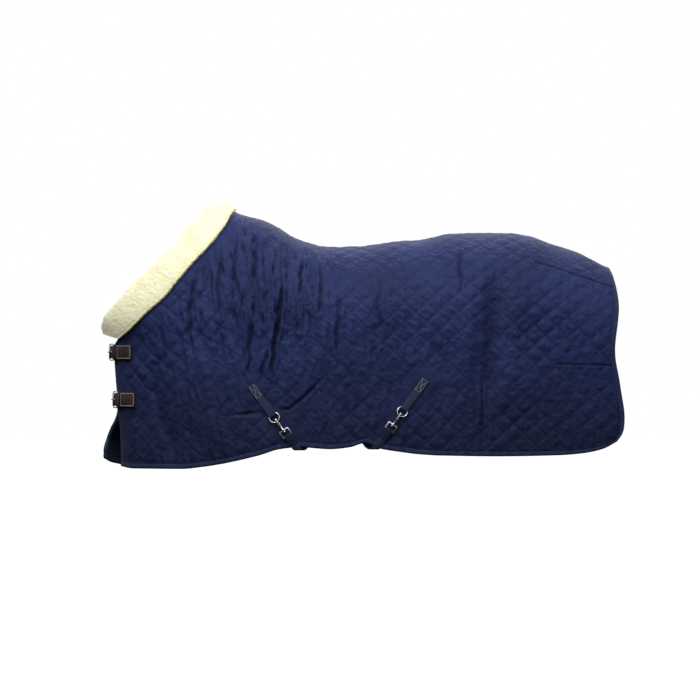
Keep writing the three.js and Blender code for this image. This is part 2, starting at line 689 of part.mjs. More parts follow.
function addEye(group, name) {
  const halfIn = webbingWidth / 2 + 1.5;
  const halfOut = halfIn + eyeWire;
  const from = -eyeWire / 2 - 1;
  const window = outline([[from, -halfOut + 3], [from + 3, -halfOut], [eyeLength, -halfOut],
    [eyeLength + eyeWire / 2, -halfOut + 2], [eyeLength + eyeWire / 2, halfOut - 2],
    [eyeLength, halfOut], [from + 3, halfOut], [from, halfOut - 3]]);
  window.holes.push(new THREE.Path([[eyeWire / 2, -halfIn], [eyeWire / 2, halfIn],
    [eyeLength - eyeWire / 2, halfIn], [eyeLength - eyeWire / 2, -halfIn]]
    .map(([x, y]) => new THREE.Vector2(x, y))));
  const boss = rod(vec(from, 0, 0), vec(eyeWire / 2 + 0.4, 0, 0), stemDiameter + 5.5);
  const bore = rod(vec(from - 2, 0, 0), vec(eyeWire / 2 + 2, 0, 0), stemDiameter + 2 * gap);
  const body = joined(prism(window, eyeWire), boss).subtract(solid(bore));
  const eye = add(group, `strap_eye_${name}`, shaped(body), steel);
  eye.position.set(eyeBarAt, 0, stemRise);
}

function addStrapEnd(group, name) {
  const inner = eyeWire / 2 + gap;
  const outer = inner + webbingThickness;
  const end = outline([[eyeFarAt - outer, stemRise - outer + 1.5],
    [eyeFarAt - outer + 1.5, stemRise - outer], [eyeFarAt + 3, stemRise - outer],
    [eyeFarAt + 14, 4], [strapEndAt, 1.6], [strapEndAt, 1.6 + 2 * webbingThickness],
    [eyeFarAt + 20, 10], [eyeFarAt + 3, stemRise + outer],
    [eyeFarAt - outer + 1.5, stemRise + outer], [eyeFarAt - outer, stemRise + outer - 1.5]]);
  end.holes.push(new THREE.Path([[-inner, -inner], [-inner, inner], [inner, inner],
    [inner, -inner]].map(([x, z]) => new THREE.Vector2(eyeFarAt + x, stemRise + z))));
  add(group, `strap_end_${name}`, sidePrism(end, webbingWidth), strapWebbing);
}

// The lowest the hem comes under a strap that crosses it here.
function hemUnder(rug, x) {
  const edge = [0, ...panelU, 1].map((u) => rug.at(u, 1));
  const at = (place) => {
    const i = Math.max(1, edge.findIndex((point) => point.x > place));
    const [a, b] = [edge[i - 1], edge[i]];
    return lerp(a.z, b.z, (place - a.x) / (b.x - a.x));
  };
  return Math.min(...[-1, -0.5, 0, 0.5, 1].map((share) => at(x + share * webbingWidth)));
}

// One strap: round the hem below its clip, across under the belly, and up the other flank.
function addBellyStrap({ name, patch, run, farPatch }) {
  const nearAxes = strapAxes(NEAR, run);
  const farAxes = strapAxes(OFF, -run);
  const nearSpot = (a, r) => vec(patch.x, NEAR * (barrelHalfWidth + layerGap), patch.z)
    .addScaledVector(nearAxes.down, a).addScaledVector(nearAxes.out, r);
  const farSpot = (a, r) => vec(farPatch.x, OFF * (barrelHalfWidth + layerGap), farPatch.z)
    .addScaledVector(farAxes.down, a).addScaledVector(farAxes.out, r);
  const turnBelow = (spot, side) => {
    const hemZ = hemUnder(side === NEAR ? sides.left : sides.right, spot.x);
    const flank = barrelHalfWidth;
    return [[flank + 3.6, hemZ + 4], [flank + 1.6, hemZ - 3.6], [flank - 5, hemZ - 6],
      [flank - 14, hemZ - 5], [flank - 22, hemZ + 1]].map(([y, z]) => [side * y, z]);
  };
  const nearHem = nearSpot((patch.z - nearTurnZ) / Math.cos(lean), 0);
  const farHem = farSpot((farPatch.z - nearTurnZ) / Math.cos(lean), 0);
  const crossing = vec(farHem.x - nearHem.x, farHem.y - nearHem.y, 0).normalize();
  const level = vec(-crossing.y, crossing.x, 0).multiplyScalar(-run * Math.sign(-crossing.y * run));
  const station = (point, across, out) => ({ point, across, out });
  const rise = 1.6 + webbingThickness / 2;
  const stations = [];
  const first = strapEndAt + gap;
  for (const a of [first, first + 3]) {
    stations.push(station(nearSpot(a, rise), nearAxes.across, nearAxes.out));
  }
  // Folded round the straight hem, so its sections lie along the hem and are that much wider.
  const roundHem = (spot, axes, side) => {
    const slant = axes.down.x / -axes.down.z;
    const across = vec(Math.sign(axes.across.x) / Math.cos(lean), 0, 0);
    const path = turnBelow(spot, side);
    let x = spot.x + slant * (spot.z - path[0][1]);
    return path.map(([y, z], i) => {
      if (i > 0) x += slant * Math.hypot(y - path[i - 1][0], z - path[i - 1][1]);
      const turn = (Math.PI / 2) * Math.min(1, i / 2.4);
      return station(vec(x, y, z), across, vec(0, side * Math.cos(turn), -Math.sin(turn)));
    });
  };
  stations.push(...roundHem(nearHem, nearAxes, NEAR));
  const flat = level.clone().multiplyScalar(Math.sign(level.x * nearAxes.across.x));
  for (const share of [0.14, 0.5, 0.86]) {
    const place = nearHem.clone().lerp(farHem, share);
    const z = crossingZ[name] - (share === 0.5 ? 0 : 3);
    stations.push(station(vec(place.x, place.y, z), flat, vec(0, 0, -1)));
  }
  const offStations = roundHem(farHem, farAxes, OFF).reverse();
  const upFlank = [];
  const hemRun = (farPatch.z - offTurnZ) / Math.cos(lean);
  for (const a of [hemRun - 12, (hemRun + tabStart) / 2, tabStart]) {
    upFlank.push(station(farSpot(a, rise), farAxes.across, farAxes.out));
  }
  stations.push(...offStations, ...upFlank);
  // Keep one hand all the way: across x along points the same way as out.
  let previous = stations[0].across;
  const rings = stations.map(({ point, across, out }) => {
    const steady = across.clone();
    if (steady.dot(previous) < 0) steady.negate();
    previous = steady;
    const corner = (w, t) => point.clone().addScaledVector(steady, (w * webbingWidth) / 2)
      .addScaledVector(out, (t * webbingThickness) / 2);
    return [corner(-1, -1), corner(1, -1), corner(1, 1), corner(-1, 1)];
  });
  add(model, `belly_strap_${name}`, loft(rings), strapWebbing);
}

function addSlider({ name, farPatch, run }) {
  const group = strapGroup(OFF, farPatch, -run);
  const halfIn = webbingWidth / 2 + 0.8;
  const halfOut = halfIn + 3.4;
  const low = gap;
  const slider = outline([[-halfOut, low], [halfOut, low], [halfOut, 6.4], [-halfOut, 6.4]]);
  slider.holes.push(new THREE.Path([[-halfIn, 1.2], [-halfIn, 4.6], [halfIn, 4.6], [halfIn, 1.2]]
    .map(([x, y]) => new THREE.Vector2(x, y))));
  const mesh = add(group, `strap_slider_${name}`, prism(slider, sliderLength), steel);
  mesh.setRotationFromMatrix(new THREE.Matrix4().makeBasis(vec(0, 1, 0), vec(0, 0, 1),
    vec(1, 0, 0)));
  mesh.position.set(sliderAt, 0, 0);
}

// ---------- assembly ----------

let liningFace = 0;
for (const [name, rug] of Object.entries(sides)) liningFace = addRugSide(name, rug);
addSpineTape(liningFace);
addCollar();
chestStraps.forEach(addChestStrap);
for (const fitting of bellyFittings) {
  const group = strapGroup(NEAR, fitting.patch, fitting.run);
  addTab(group, fitting.name);
  addRing(group, fitting.name);
  addSnapHook(group, fitting.name);
  addEye(group, fitting.name);
  addStrapEnd(group, fitting.name);
  addBellyStrap(fitting);
  addSlider(fitting);
}

export default model;
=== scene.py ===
"""A quilted turnout rug with a fleece collar, leather chest straps and crossed belly straps."""

import json
import logging
import math
from collections.abc import Callable, Iterator, Sequence
from contextlib import contextmanager
from dataclasses import dataclass, field
from enum import Enum

import bpy
import numpy as np
from mathutils import Matrix, Vector, noise

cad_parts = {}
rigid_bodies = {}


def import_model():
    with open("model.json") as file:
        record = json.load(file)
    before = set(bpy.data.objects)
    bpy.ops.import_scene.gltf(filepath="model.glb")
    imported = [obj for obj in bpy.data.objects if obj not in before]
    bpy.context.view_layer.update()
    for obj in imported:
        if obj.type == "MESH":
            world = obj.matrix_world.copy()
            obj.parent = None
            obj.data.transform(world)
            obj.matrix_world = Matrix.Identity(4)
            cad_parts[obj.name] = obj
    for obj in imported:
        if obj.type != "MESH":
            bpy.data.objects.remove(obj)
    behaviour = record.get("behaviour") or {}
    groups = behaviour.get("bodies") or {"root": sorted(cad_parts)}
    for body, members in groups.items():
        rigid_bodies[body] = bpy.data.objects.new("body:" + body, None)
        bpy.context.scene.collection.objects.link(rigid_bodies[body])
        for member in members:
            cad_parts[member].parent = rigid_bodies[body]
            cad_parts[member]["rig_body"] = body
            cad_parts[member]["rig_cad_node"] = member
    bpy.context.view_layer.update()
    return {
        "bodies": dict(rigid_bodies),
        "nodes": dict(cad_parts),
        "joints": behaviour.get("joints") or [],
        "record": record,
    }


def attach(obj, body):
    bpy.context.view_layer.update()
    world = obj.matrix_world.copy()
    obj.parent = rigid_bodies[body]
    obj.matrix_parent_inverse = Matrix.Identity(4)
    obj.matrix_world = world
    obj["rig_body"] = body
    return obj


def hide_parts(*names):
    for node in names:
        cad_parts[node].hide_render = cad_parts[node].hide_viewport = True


log = logging.getLogger("rug")
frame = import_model()

MM = 0.001
CURVE_STEPS = 48
MERGE_SKIN = 1e-6
MERGE_SOLID = 2e-5
STITCH_SPACING = 10
Array = np.ndarray


class Side(Enum):
    """Which half of the rug: the near side is at -Y."""

    NEAR = -1
    OFF = 1

    @property
    def word(self) -> str:
        """The side's name in the names of its pieces."""
        return "left" if self is Side.NEAR else "right"


# ---------- curves ----------


def travel(line: Array) -> Array:
    """How far along a line each of its points lies."""
    return np.concatenate([[0], np.cumsum(np.linalg.norm(np.diff(line, axis=0), axis=1))])


def bridge(t: Array, start: Array, end: Array, leave: Array, arrive: Array) -> Array:
    """A smooth way between two values.

    Args:
        t: shares of the way.
        start: the first value.
        end: the last value.
        leave: the slope at the start, over the whole way.
        arrive: the slope at the end, over the whole way.

    Returns:
        The values at those shares.
    """
    t2, t3 = t * t, t * t * t
    return (
        (2 * t3 - 3 * t2 + 1) * start
        + (t3 - 2 * t2 + t) * leave
        + (3 * t2 - 2 * t3) * end
        + (t3 - t2) * arrive
    )


def through(points: Sequence[tuple[float, float]]) -> Callable[[Array], Array]:
    """A smooth curve through points that never overshoots them.

    Args:
        points: pairs of place and height, in order of place.

    Returns:
        A function from places to heights.
    """
    known = np.array(points, float)
    xs, zs = known[:, 0], known[:, 1]
    spans = np.diff(xs)
    steps = np.diff(zs) / spans
    before = np.concatenate([steps[:1], steps])
    after = np.concatenate([steps, steps[-1:]])
    product = before * after
    total = np.where(before + after == 0, 1, before + after)
    slopes = np.where(product > 0, 2 * product / total, 0)

    def at(places: Array) -> Array:
        """Heights of the curve at these places."""
        x = np.asarray(places, float)
        i = np.clip(np.searchsorted(xs, x, side="right") - 1, 0, len(xs) - 2)
        t = np.clip((x - xs[i]) / spans[i], 0, 1)
        return bridge(t, zs[i], zs[i + 1], spans[i] * slopes[i], spans[i] * slopes[i + 1])

    return at


def even_curve(points: Array) -> Callable[[Array], Array]:
    """A rounded curve through points, read by its share of length.

    Args:
        points: the points it passes, one to a row.

    Returns:
        A function from shares, 0 to 1, to points.
    """
    p = np.array(points, float)
    p = np.vstack([2 * p[0] - p[1], p, 2 * p[-1] - p[-2]])
    dense = []
    for a, b, c, d in zip(p[:-3], p[1:-2], p[2:-1], p[3:]):
        gaps = [max(np.linalg.norm(n - m) ** 0.5, 1e-4) for m, n in ((a, b), (b, c), (c, d))]
        out = (b - a) / gaps[0] - (c - a) / (gaps[0] + gaps[1]) + (c - b) / gaps[1]
        into = (c - b) / gaps[1] - (d - b) / (gaps[1] + gaps[2]) + (d - c) / gaps[2]
        t = np.linspace(0, 1, CURVE_STEPS, endpoint=False)[:, None]
        dense.append(bridge(t, b, c, out * gaps[1], into * gaps[1]))
    line = np.vstack([*dense, p[-2:-1]])
    length = travel(line)
    length /= length[-1]

    def at(shares: Array) -> Array:
        """Points at these shares of the curve's length."""
        s = np.asarray(shares, float)
        return np.stack([np.interp(s, length, line[:, k]) for k in range(line.shape[1])], -1)

    return at


def arch(share: Array) -> Array:
    """A quarter round that rises from 0 to 1."""
    c = np.clip(share, 0, 1)
    return np.sqrt(c * (2 - c))


def ease(t: Array) -> Array:
    """A smooth step from 0 to 1."""
    c = np.clip(t, 0, 1)
    return c * c * (3 - 2 * c)


def unit(v: Array) -> Array:
    """Vectors at length 1."""
    return v / np.maximum(np.linalg.norm(v, axis=-1, keepdims=True), 1e-12)


def noise_at(points: Array, seed: float) -> Array:
    """Smooth noise from about -1 to 1.

    Args:
        points: places, in cells of the noise, with 2 or 3 values each.
        seed: moves the pattern, so that two uses differ.

    Returns:
        One value for each point.
    """
    flat = points.reshape(-1, points.shape[-1])
    deep = flat[:, 2] if flat.shape[1] > 2 else np.zeros(len(flat))
    values = [
        noise.noise(Vector((x + seed, y - 2 * seed, z + 0.37)))
        for x, y, z in zip(flat[:, 0], flat[:, 1], deep)
    ]
    return np.array(values).reshape(points.shape[:-1])


# ---------- modelling ----------


class Bench:
    """The modelling steps that every piece shares. Places are in millimetres."""

    @staticmethod
    def clear() -> None:
        """Leaves nothing selected."""
        if bpy.context.object and bpy.context.object.mode != "OBJECT":
            bpy.ops.object.mode_set(mode="OBJECT")
        bpy.ops.object.select_all(action="DESELECT")

    @staticmethod
    def pick(piece: bpy.types.Object) -> None:
        """Selects one piece alone and makes it active."""
        Bench.clear()
        piece.select_set(True)
        bpy.context.view_layer.objects.active = piece

    @staticmethod
    @contextmanager
    def editing(piece: bpy.types.Object) -> Iterator[None]:
        """Opens a piece for editing with all of it selected, and closes it again."""
        Bench.pick(piece)
        bpy.ops.object.mode_set(mode="EDIT")
        bpy.ops.mesh.select_all(action="SELECT")
        yield
        bpy.ops.object.mode_set(mode="OBJECT")

    @staticmethod
    def points(piece: bpy.types.Object) -> Array:
        """The piece's points, one to a row, in metres."""
        places = np.zeros(len(piece.data.vertices) * 3)
        piece.data.vertices.foreach_get("co", places)
        return places.reshape(-1, 3)

    @staticmethod
    def corners(piece: bpy.types.Object) -> Array:
        """The number of the point at each corner of each face."""
        numbers = np.zeros(len(piece.data.loops), np.int32)
        piece.data.loops.foreach_get("vertex_index", numbers)
        return numbers

    @staticmethod
    def put(piece: bpy.types.Object, places: Array) -> None:
        """Moves the piece's points to places in metres."""
        piece.data.vertices.foreach_set("co", places.ravel())
        piece.data.update()

    @staticmethod
    def sheet(name: str, places: Array, cloth: Array | None = None) -> bpy.types.Object:
        """A grid that is moved onto a surface.

        Args:
            name: the piece's name.
            places: rows of points, in millimetres.
            cloth: for each point, how far along and down the cloth it is, in millimetres.

        Returns:
            The piece, shaded smooth.
        """
        rows, columns = places.shape[:2]
        Bench.clear()
        bpy.ops.mesh.primitive_grid_add(
            x_subdivisions=columns - 1, y_subdivisions=rows - 1, size=2, calc_uvs=True
        )
        piece = bpy.context.object
        piece.name = piece.data.name = name
        flat = Bench.points(piece)
        i = np.rint((flat[:, 0] + 1) / 2 * (columns - 1)).astype(int)
        j = np.rint((flat[:, 1] + 1) / 2 * (rows - 1)).astype(int)
        layer = piece.data.uv_layers[0]
        layer.name = "cloth"
        if cloth is not None:
            layer.data.foreach_set("uv", (cloth[j, i] * MM)[Bench.corners(piece)].ravel())
        Bench.put(piece, places[j, i] * MM)
        bpy.ops.object.shade_smooth()
        return piece

    @staticmethod
    def tube(
        name: str, rings: Array, cloth: Array | None = None, looped: bool = False
    ) -> bpy.types.Object:
        """A closed skin through rings of points, with its ends filled unless it is a loop.

        Args:
            name: the piece's name.
            rings: rings of points, in millimetres, without the first point repeated.
            cloth: along and across places of each point and of the repeated first one.
            looped: whether the last ring joins the first.

        Returns:
            The piece, shaded smooth by angle, with faces that point outwards.
        """
        closed = np.concatenate([rings, rings[:, :1]], axis=1)
        if looped:
            closed = np.concatenate([closed, closed[:1]])
            if cloth is not None and len(cloth) == len(rings):
                cloth = np.concatenate([cloth, cloth[-1:] + (cloth[-1:] - cloth[-2:-1])])
        piece = Bench.sheet(name, closed, cloth)
        with Bench.editing(piece):
            bpy.ops.mesh.select_mode(type="VERT")
            bpy.ops.mesh.remove_doubles(threshold=MERGE_SKIN)
            if not looped:
                bpy.ops.mesh.select_all(action="DESELECT")
                bpy.ops.mesh.select_non_manifold()
                bpy.ops.mesh.fill_holes(sides=0)
            bpy.ops.mesh.select_all(action="SELECT")
            bpy.ops.mesh.normals_make_consistent(inside=False)
        Bench.smooth(piece, 50)
        return piece

    @staticmethod
    def smooth(piece: bpy.types.Object, degrees: float) -> None:
        """Shades a piece smooth except over edges sharper than an angle."""
        Bench.pick(piece)
        bpy.ops.object.shade_smooth_by_angle(angle=math.radians(degrees))

    @staticmethod
    def refined(node: str, name: str, bevel: float, segments: int = 2) -> bpy.types.Object:
        """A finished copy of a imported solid: merged, with rounded edges.

        Args:
            node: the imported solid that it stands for.
            name: the piece's name.
            bevel: width of the rounding, in millimetres.
            segments: facets across the rounding.

        Returns:
            The piece, which replaces the solid.
        """
        source = frame["nodes"][node]
        Bench.pick(source)
        bpy.ops.object.duplicate()
        piece = bpy.context.object
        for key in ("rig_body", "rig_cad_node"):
            if key in piece:
                del piece[key]
        piece.parent = None
        piece.matrix_world = Matrix.Identity(4)
        piece.name = piece.data.name = name
        piece.data.materials.clear()
        with Bench.editing(piece):
            bpy.ops.mesh.remove_doubles(threshold=MERGE_SOLID)
            bpy.ops.mesh.dissolve_limited(angle_limit=math.radians(1.0))
        Bench.modify(
            piece,
            "BEVEL",
            width=bevel * MM,
            segments=segments,
            limit_method="ANGLE",
            angle_limit=math.radians(35),
            use_clamp_overlap=True,
        )
        Bench.smooth(piece, 40)
        return piece

    @staticmethod
    def modify(piece: bpy.types.Object, kind: str, **values: object) -> None:
        """Adds a modifier to a piece, sets it and applies it."""
        Bench.pick(piece)
        bpy.ops.object.modifier_add(type=kind)
        modifier = piece.modifiers[-1]
        for key, value in values.items():
            setattr(modifier, key, value)
        bpy.ops.object.modifier_apply(modifier=modifier.name)

    @staticmethod
    def strew(name: str, spots: Array, axes: Array, size: tuple[float, float, float]) -> bpy.types.Object:
        """One stitch, modelled once and copied along a seam.

        Args:
            name: the piece's name.
            spots: where each stitch lies, in millimetres.
            axes: for each stitch, unit vectors along it, across it and out of the cloth.
            size: a stitch's length, width and height, in millimetres.

        Returns:
            The row of stitches as one piece.
        """
        Bench.clear()
        bpy.ops.mesh.primitive_uv_sphere_add(segments=6, ring_count=4, radius=0.5)
        piece = bpy.context.object
        piece.name = piece.data.name = name
        Bench.modify(
            piece,
            "ARRAY",
            count=len(spots),
            use_relative_offset=False,
            use_constant_offset=True,
            constant_offset_displace=(STITCH_SPACING, 0, 0),
        )
        stitches = Bench.points(piece).reshape(len(spots), -1, 3)
        stitches[:, :, 0] -= STITCH_SPACING * np.arange(len(spots))[:, None]
        placed = np.einsum("nvk,nkj->nvj", stitches * np.array(size), axes) + spots[:, None]
        Bench.put(piece, placed * MM)
        Bench.pick(piece)
        bpy.ops.object.shade_smooth()
        return piece


# ---------- finishes ----------


def rgb(red: int, green: int, blue: int) -> tuple[float, float, float, float]:
    """A shader colour from screen values of 0 to 255."""
    linear = [
        c / 12.92 if c <= 0.04045 else ((c + 0.055) / 1.055) ** 2.4
        for c in (red / 255, green / 255, blue / 255)
    ]
    return (*linear, 1.0)


def dim(colour: tuple, share: float) -> tuple[float, float, float, float]:
    """A shader colour at a share of its brightness."""
    return (*(c * share for c in colour[:3]), 1.0)


class Nodes:
    """A short hand for laying out and linking shader nodes."""

    def __init__(self, tree: bpy.types.NodeTree) -> None:
        """Keeps the tree that the nodes are added to."""
        self.tree = tree

    def add(self, kind: str, **values: object) -> bpy.types.Node:
        """Adds a node.

        Args:
            kind: the node's type, without its ShaderNode prefix.
            values: its settings.

        Returns:
            The node.
        """
        node = self.tree.nodes.new("ShaderNode" + kind)
        for key, value in values.items():
            setattr(node, key, value)
        return node

    def feed(self, socket: bpy.types.NodeSocket, value: object) -> None:
        """Links a socket to another, or sets it to a plain value."""
        if isinstance(value, bpy.types.NodeSocket):
            self.tree.links.new(value, socket)
        else:
            socket.default_value = value

    def math(self, operation: str, *values: object, clamp: bool = False) -> bpy.types.NodeSocket:
        """The result of a Math node over sockets or numbers."""
        node = self.add("Math", operation=operation, use_clamp=clamp)
        for socket, value in zip(node.inputs, values):
            self.feed(socket, value)
        return node.outputs[0]

    def mix(self, share: object, first: object, second: object) -> bpy.types.NodeSocket:
        """A blend of two colours."""
        node = self.add("Mix", data_type="RGBA")
        for socket, value in zip((node.inputs[0], node.inputs[6], node.inputs[7]), (share, first, second)):
            self.feed(socket, value)
        return node.outputs[2]

    def ramp(
        self, value: object, low: float, high: float, to_low: float = 0, to_high: float = 1
    ) -> bpy.types.NodeSocket:
        """A value mapped smoothly from one range to another."""
        node = self.add("MapRange", interpolation_type="SMOOTHSTEP")
        for socket, x in zip(node.inputs, (value, low, high, to_low, to_high)):
            self.feed(socket, x)
        return node.outputs[0]

    def fed(self, kind: str, **sockets: object) -> bpy.types.Node:
        """Adds a node with values or links on its named input sockets."""
        node = self.add(kind)
        for name, value in sockets.items():
            self.feed(node.inputs[name], value)
        return node

    def noise(
        self, vector: object, scale: float, detail: float = 3, rough: float = 0.5
    ) -> bpy.types.NodeSocket:
        """A noise pattern over a vector."""
        return self.fed("TexNoise", Vector=vector, Scale=scale, Detail=detail, Roughness=rough).outputs["Fac"]

    def bump(
        self, height: object, strength: float, distance: float, under: object = None
    ) -> bpy.types.NodeSocket:
        """A surface relief of a height in metres."""
        node = self.fed("Bump", Height=height, Strength=strength, Distance=distance)
        if under is not None:
            self.feed(node.inputs["Normal"], under)
        return node.outputs[0]


def group(name: str, ins: Sequence[tuple[str, str]], outs: Sequence[tuple[str, str]]) -> tuple:
    """An empty shader node group.

    Args:
        name: the group's name.
        ins: name and kind, such as Vector or Float, of each input.
        outs: name and kind of each output.

    Returns:
        The tree, its layout helper, its input node and its output node.
    """
    tree = bpy.data.node_groups.new(name, "ShaderNodeTree")
    for side, sockets in (("INPUT", ins), ("OUTPUT", outs)):
        for label, kind in sockets:
            tree.interface.new_socket(label, in_out=side, socket_type="NodeSocket" + kind)
    nodes = Nodes(tree)
    return tree, nodes, tree.nodes.new("NodeGroupInput"), tree.nodes.new("NodeGroupOutput")


def weave_group() -> bpy.types.NodeTree:
    """Crossing threads: a height, and a painted shade and highlight that darken the gaps and lighten the
    threads' tops, over cloth coordinates in metres.
    """
    tree, n, into, out = group(
        "weave", [("Vector", "Vector"), ("Pitch", "Float")], [("Height", "Float"), ("Shade", "Float")]
    )
    parts = n.add("SeparateXYZ")
    n.feed(parts.inputs[0], into.outputs["Vector"])
    turns = n.math("DIVIDE", math.pi, into.outputs["Pitch"])
    warp = n.math("ABSOLUTE", n.math("SINE", n.math("MULTIPLY", parts.outputs[0], turns)))
    weft = n.math("ABSOLUTE", n.math("SINE", n.math("MULTIPLY", parts.outputs[1], turns)))
    height = n.math("MULTIPLY", n.math("ADD", warp, weft), 0.5)
    n.feed(out.inputs["Height"], height)
    # painted shade and highlight: darker where the weave sinks between threads, lighter on the threads' tops
    n.feed(out.inputs["Shade"], n.ramp(height, 0.2, 0.8, 0.9, 1.05))
    return tree


def wear_group() -> bpy.types.NodeTree:
    """Slow patches and fine specks that vary a finish."""
    tree, n, into, out = group(
        "wear", [("Vector", "Vector"), ("Scale", "Float")], [("Patches", "Float"), ("Specks", "Float")]
    )
    for label, factor, detail in (("Patches", 1.0, 3), ("Specks", 18.0, 2)):
        scale = n.math("MULTIPLY", into.outputs["Scale"], factor)
        n.feed(out.inputs[label], n.noise(into.outputs["Vector"], scale, detail))
    return tree


class Finish:
    """A material with its layout helper and its surface shader."""

    def __init__(self, name: str, roughness: float, specular: float = 0.5, metallic: float = 0.0) -> None:
        """Makes the material.

        Args:
            name: the material's name.
            roughness: how matt the surface is.
            specular: how strong its reflections are.
            metallic: 1 for metal.
        """
        self.material = bpy.data.materials.new(name)
        self.material.use_nodes = True
        self.n = Nodes(self.material.node_tree)
        self.shader = self.material.node_tree.nodes["Principled BSDF"]
        self.set("Roughness", roughness)
        self.set("Specular IOR Level", specular)
        self.set("Metallic", metallic)

    def set(self, socket: str, value: object) -> None:
        """Sets or links one of the shader's sockets."""
        self.n.feed(self.shader.inputs[socket], value)

    def place(self, tree: bpy.types.NodeTree, **values: object) -> bpy.types.Node:
        """Places a shared node group with its own values."""
        node = self.n.add("Group", node_tree=tree)
        for key, value in values.items():
            self.n.feed(node.inputs[key.capitalize()], value)
        return node

    def cloth(self) -> bpy.types.NodeSocket:
        """The cloth's own coordinates, in metres."""
        return self.n.add("UVMap", uv_map="cloth").outputs[0]

    def solid(self) -> bpy.types.NodeSocket:
        """The object's coordinates, in metres."""
        return self.n.add("TexCoord").outputs["Object"]


@dataclass(frozen=True)
class Quilting:
    """The diamond lattice of stitching, in millimetres."""

    across: float = 78.8
    down: float = 73.0

    def lines(self, along: Array, deep: Array) -> tuple[Array, Array]:
        """The two diagonal line counts at a place on the cloth."""
        return along / self.across + deep / self.down, along / self.across - deep / self.down

    def spacing(self) -> float:
        """The distance between neighbouring parallel lines."""
        return 1 / math.hypot(1 / self.across, 1 / self.down)

    def line_distance(self, finish: Finish) -> tuple:
        """Distances in metres to the nearest line of each diagonal, as sockets."""
        n = finish.n
        parts = n.add("SeparateXYZ")
        n.feed(parts.inputs[0], finish.cloth())
        right = n.math("DIVIDE", parts.outputs[0], self.across * MM)
        deep = n.math("DIVIDE", parts.outputs[1], self.down * MM)
        found = []
        for operation in ("ADD", "SUBTRACT"):
            count = n.math(operation, right, deep)
            off = n.math("ABSOLUTE", n.math("SUBTRACT", count, n.math("ROUND", count)))
            found.append((count, n.math("MULTIPLY", off, self.spacing() * MM)))
        return tuple(found)


QUILTING = Quilting()


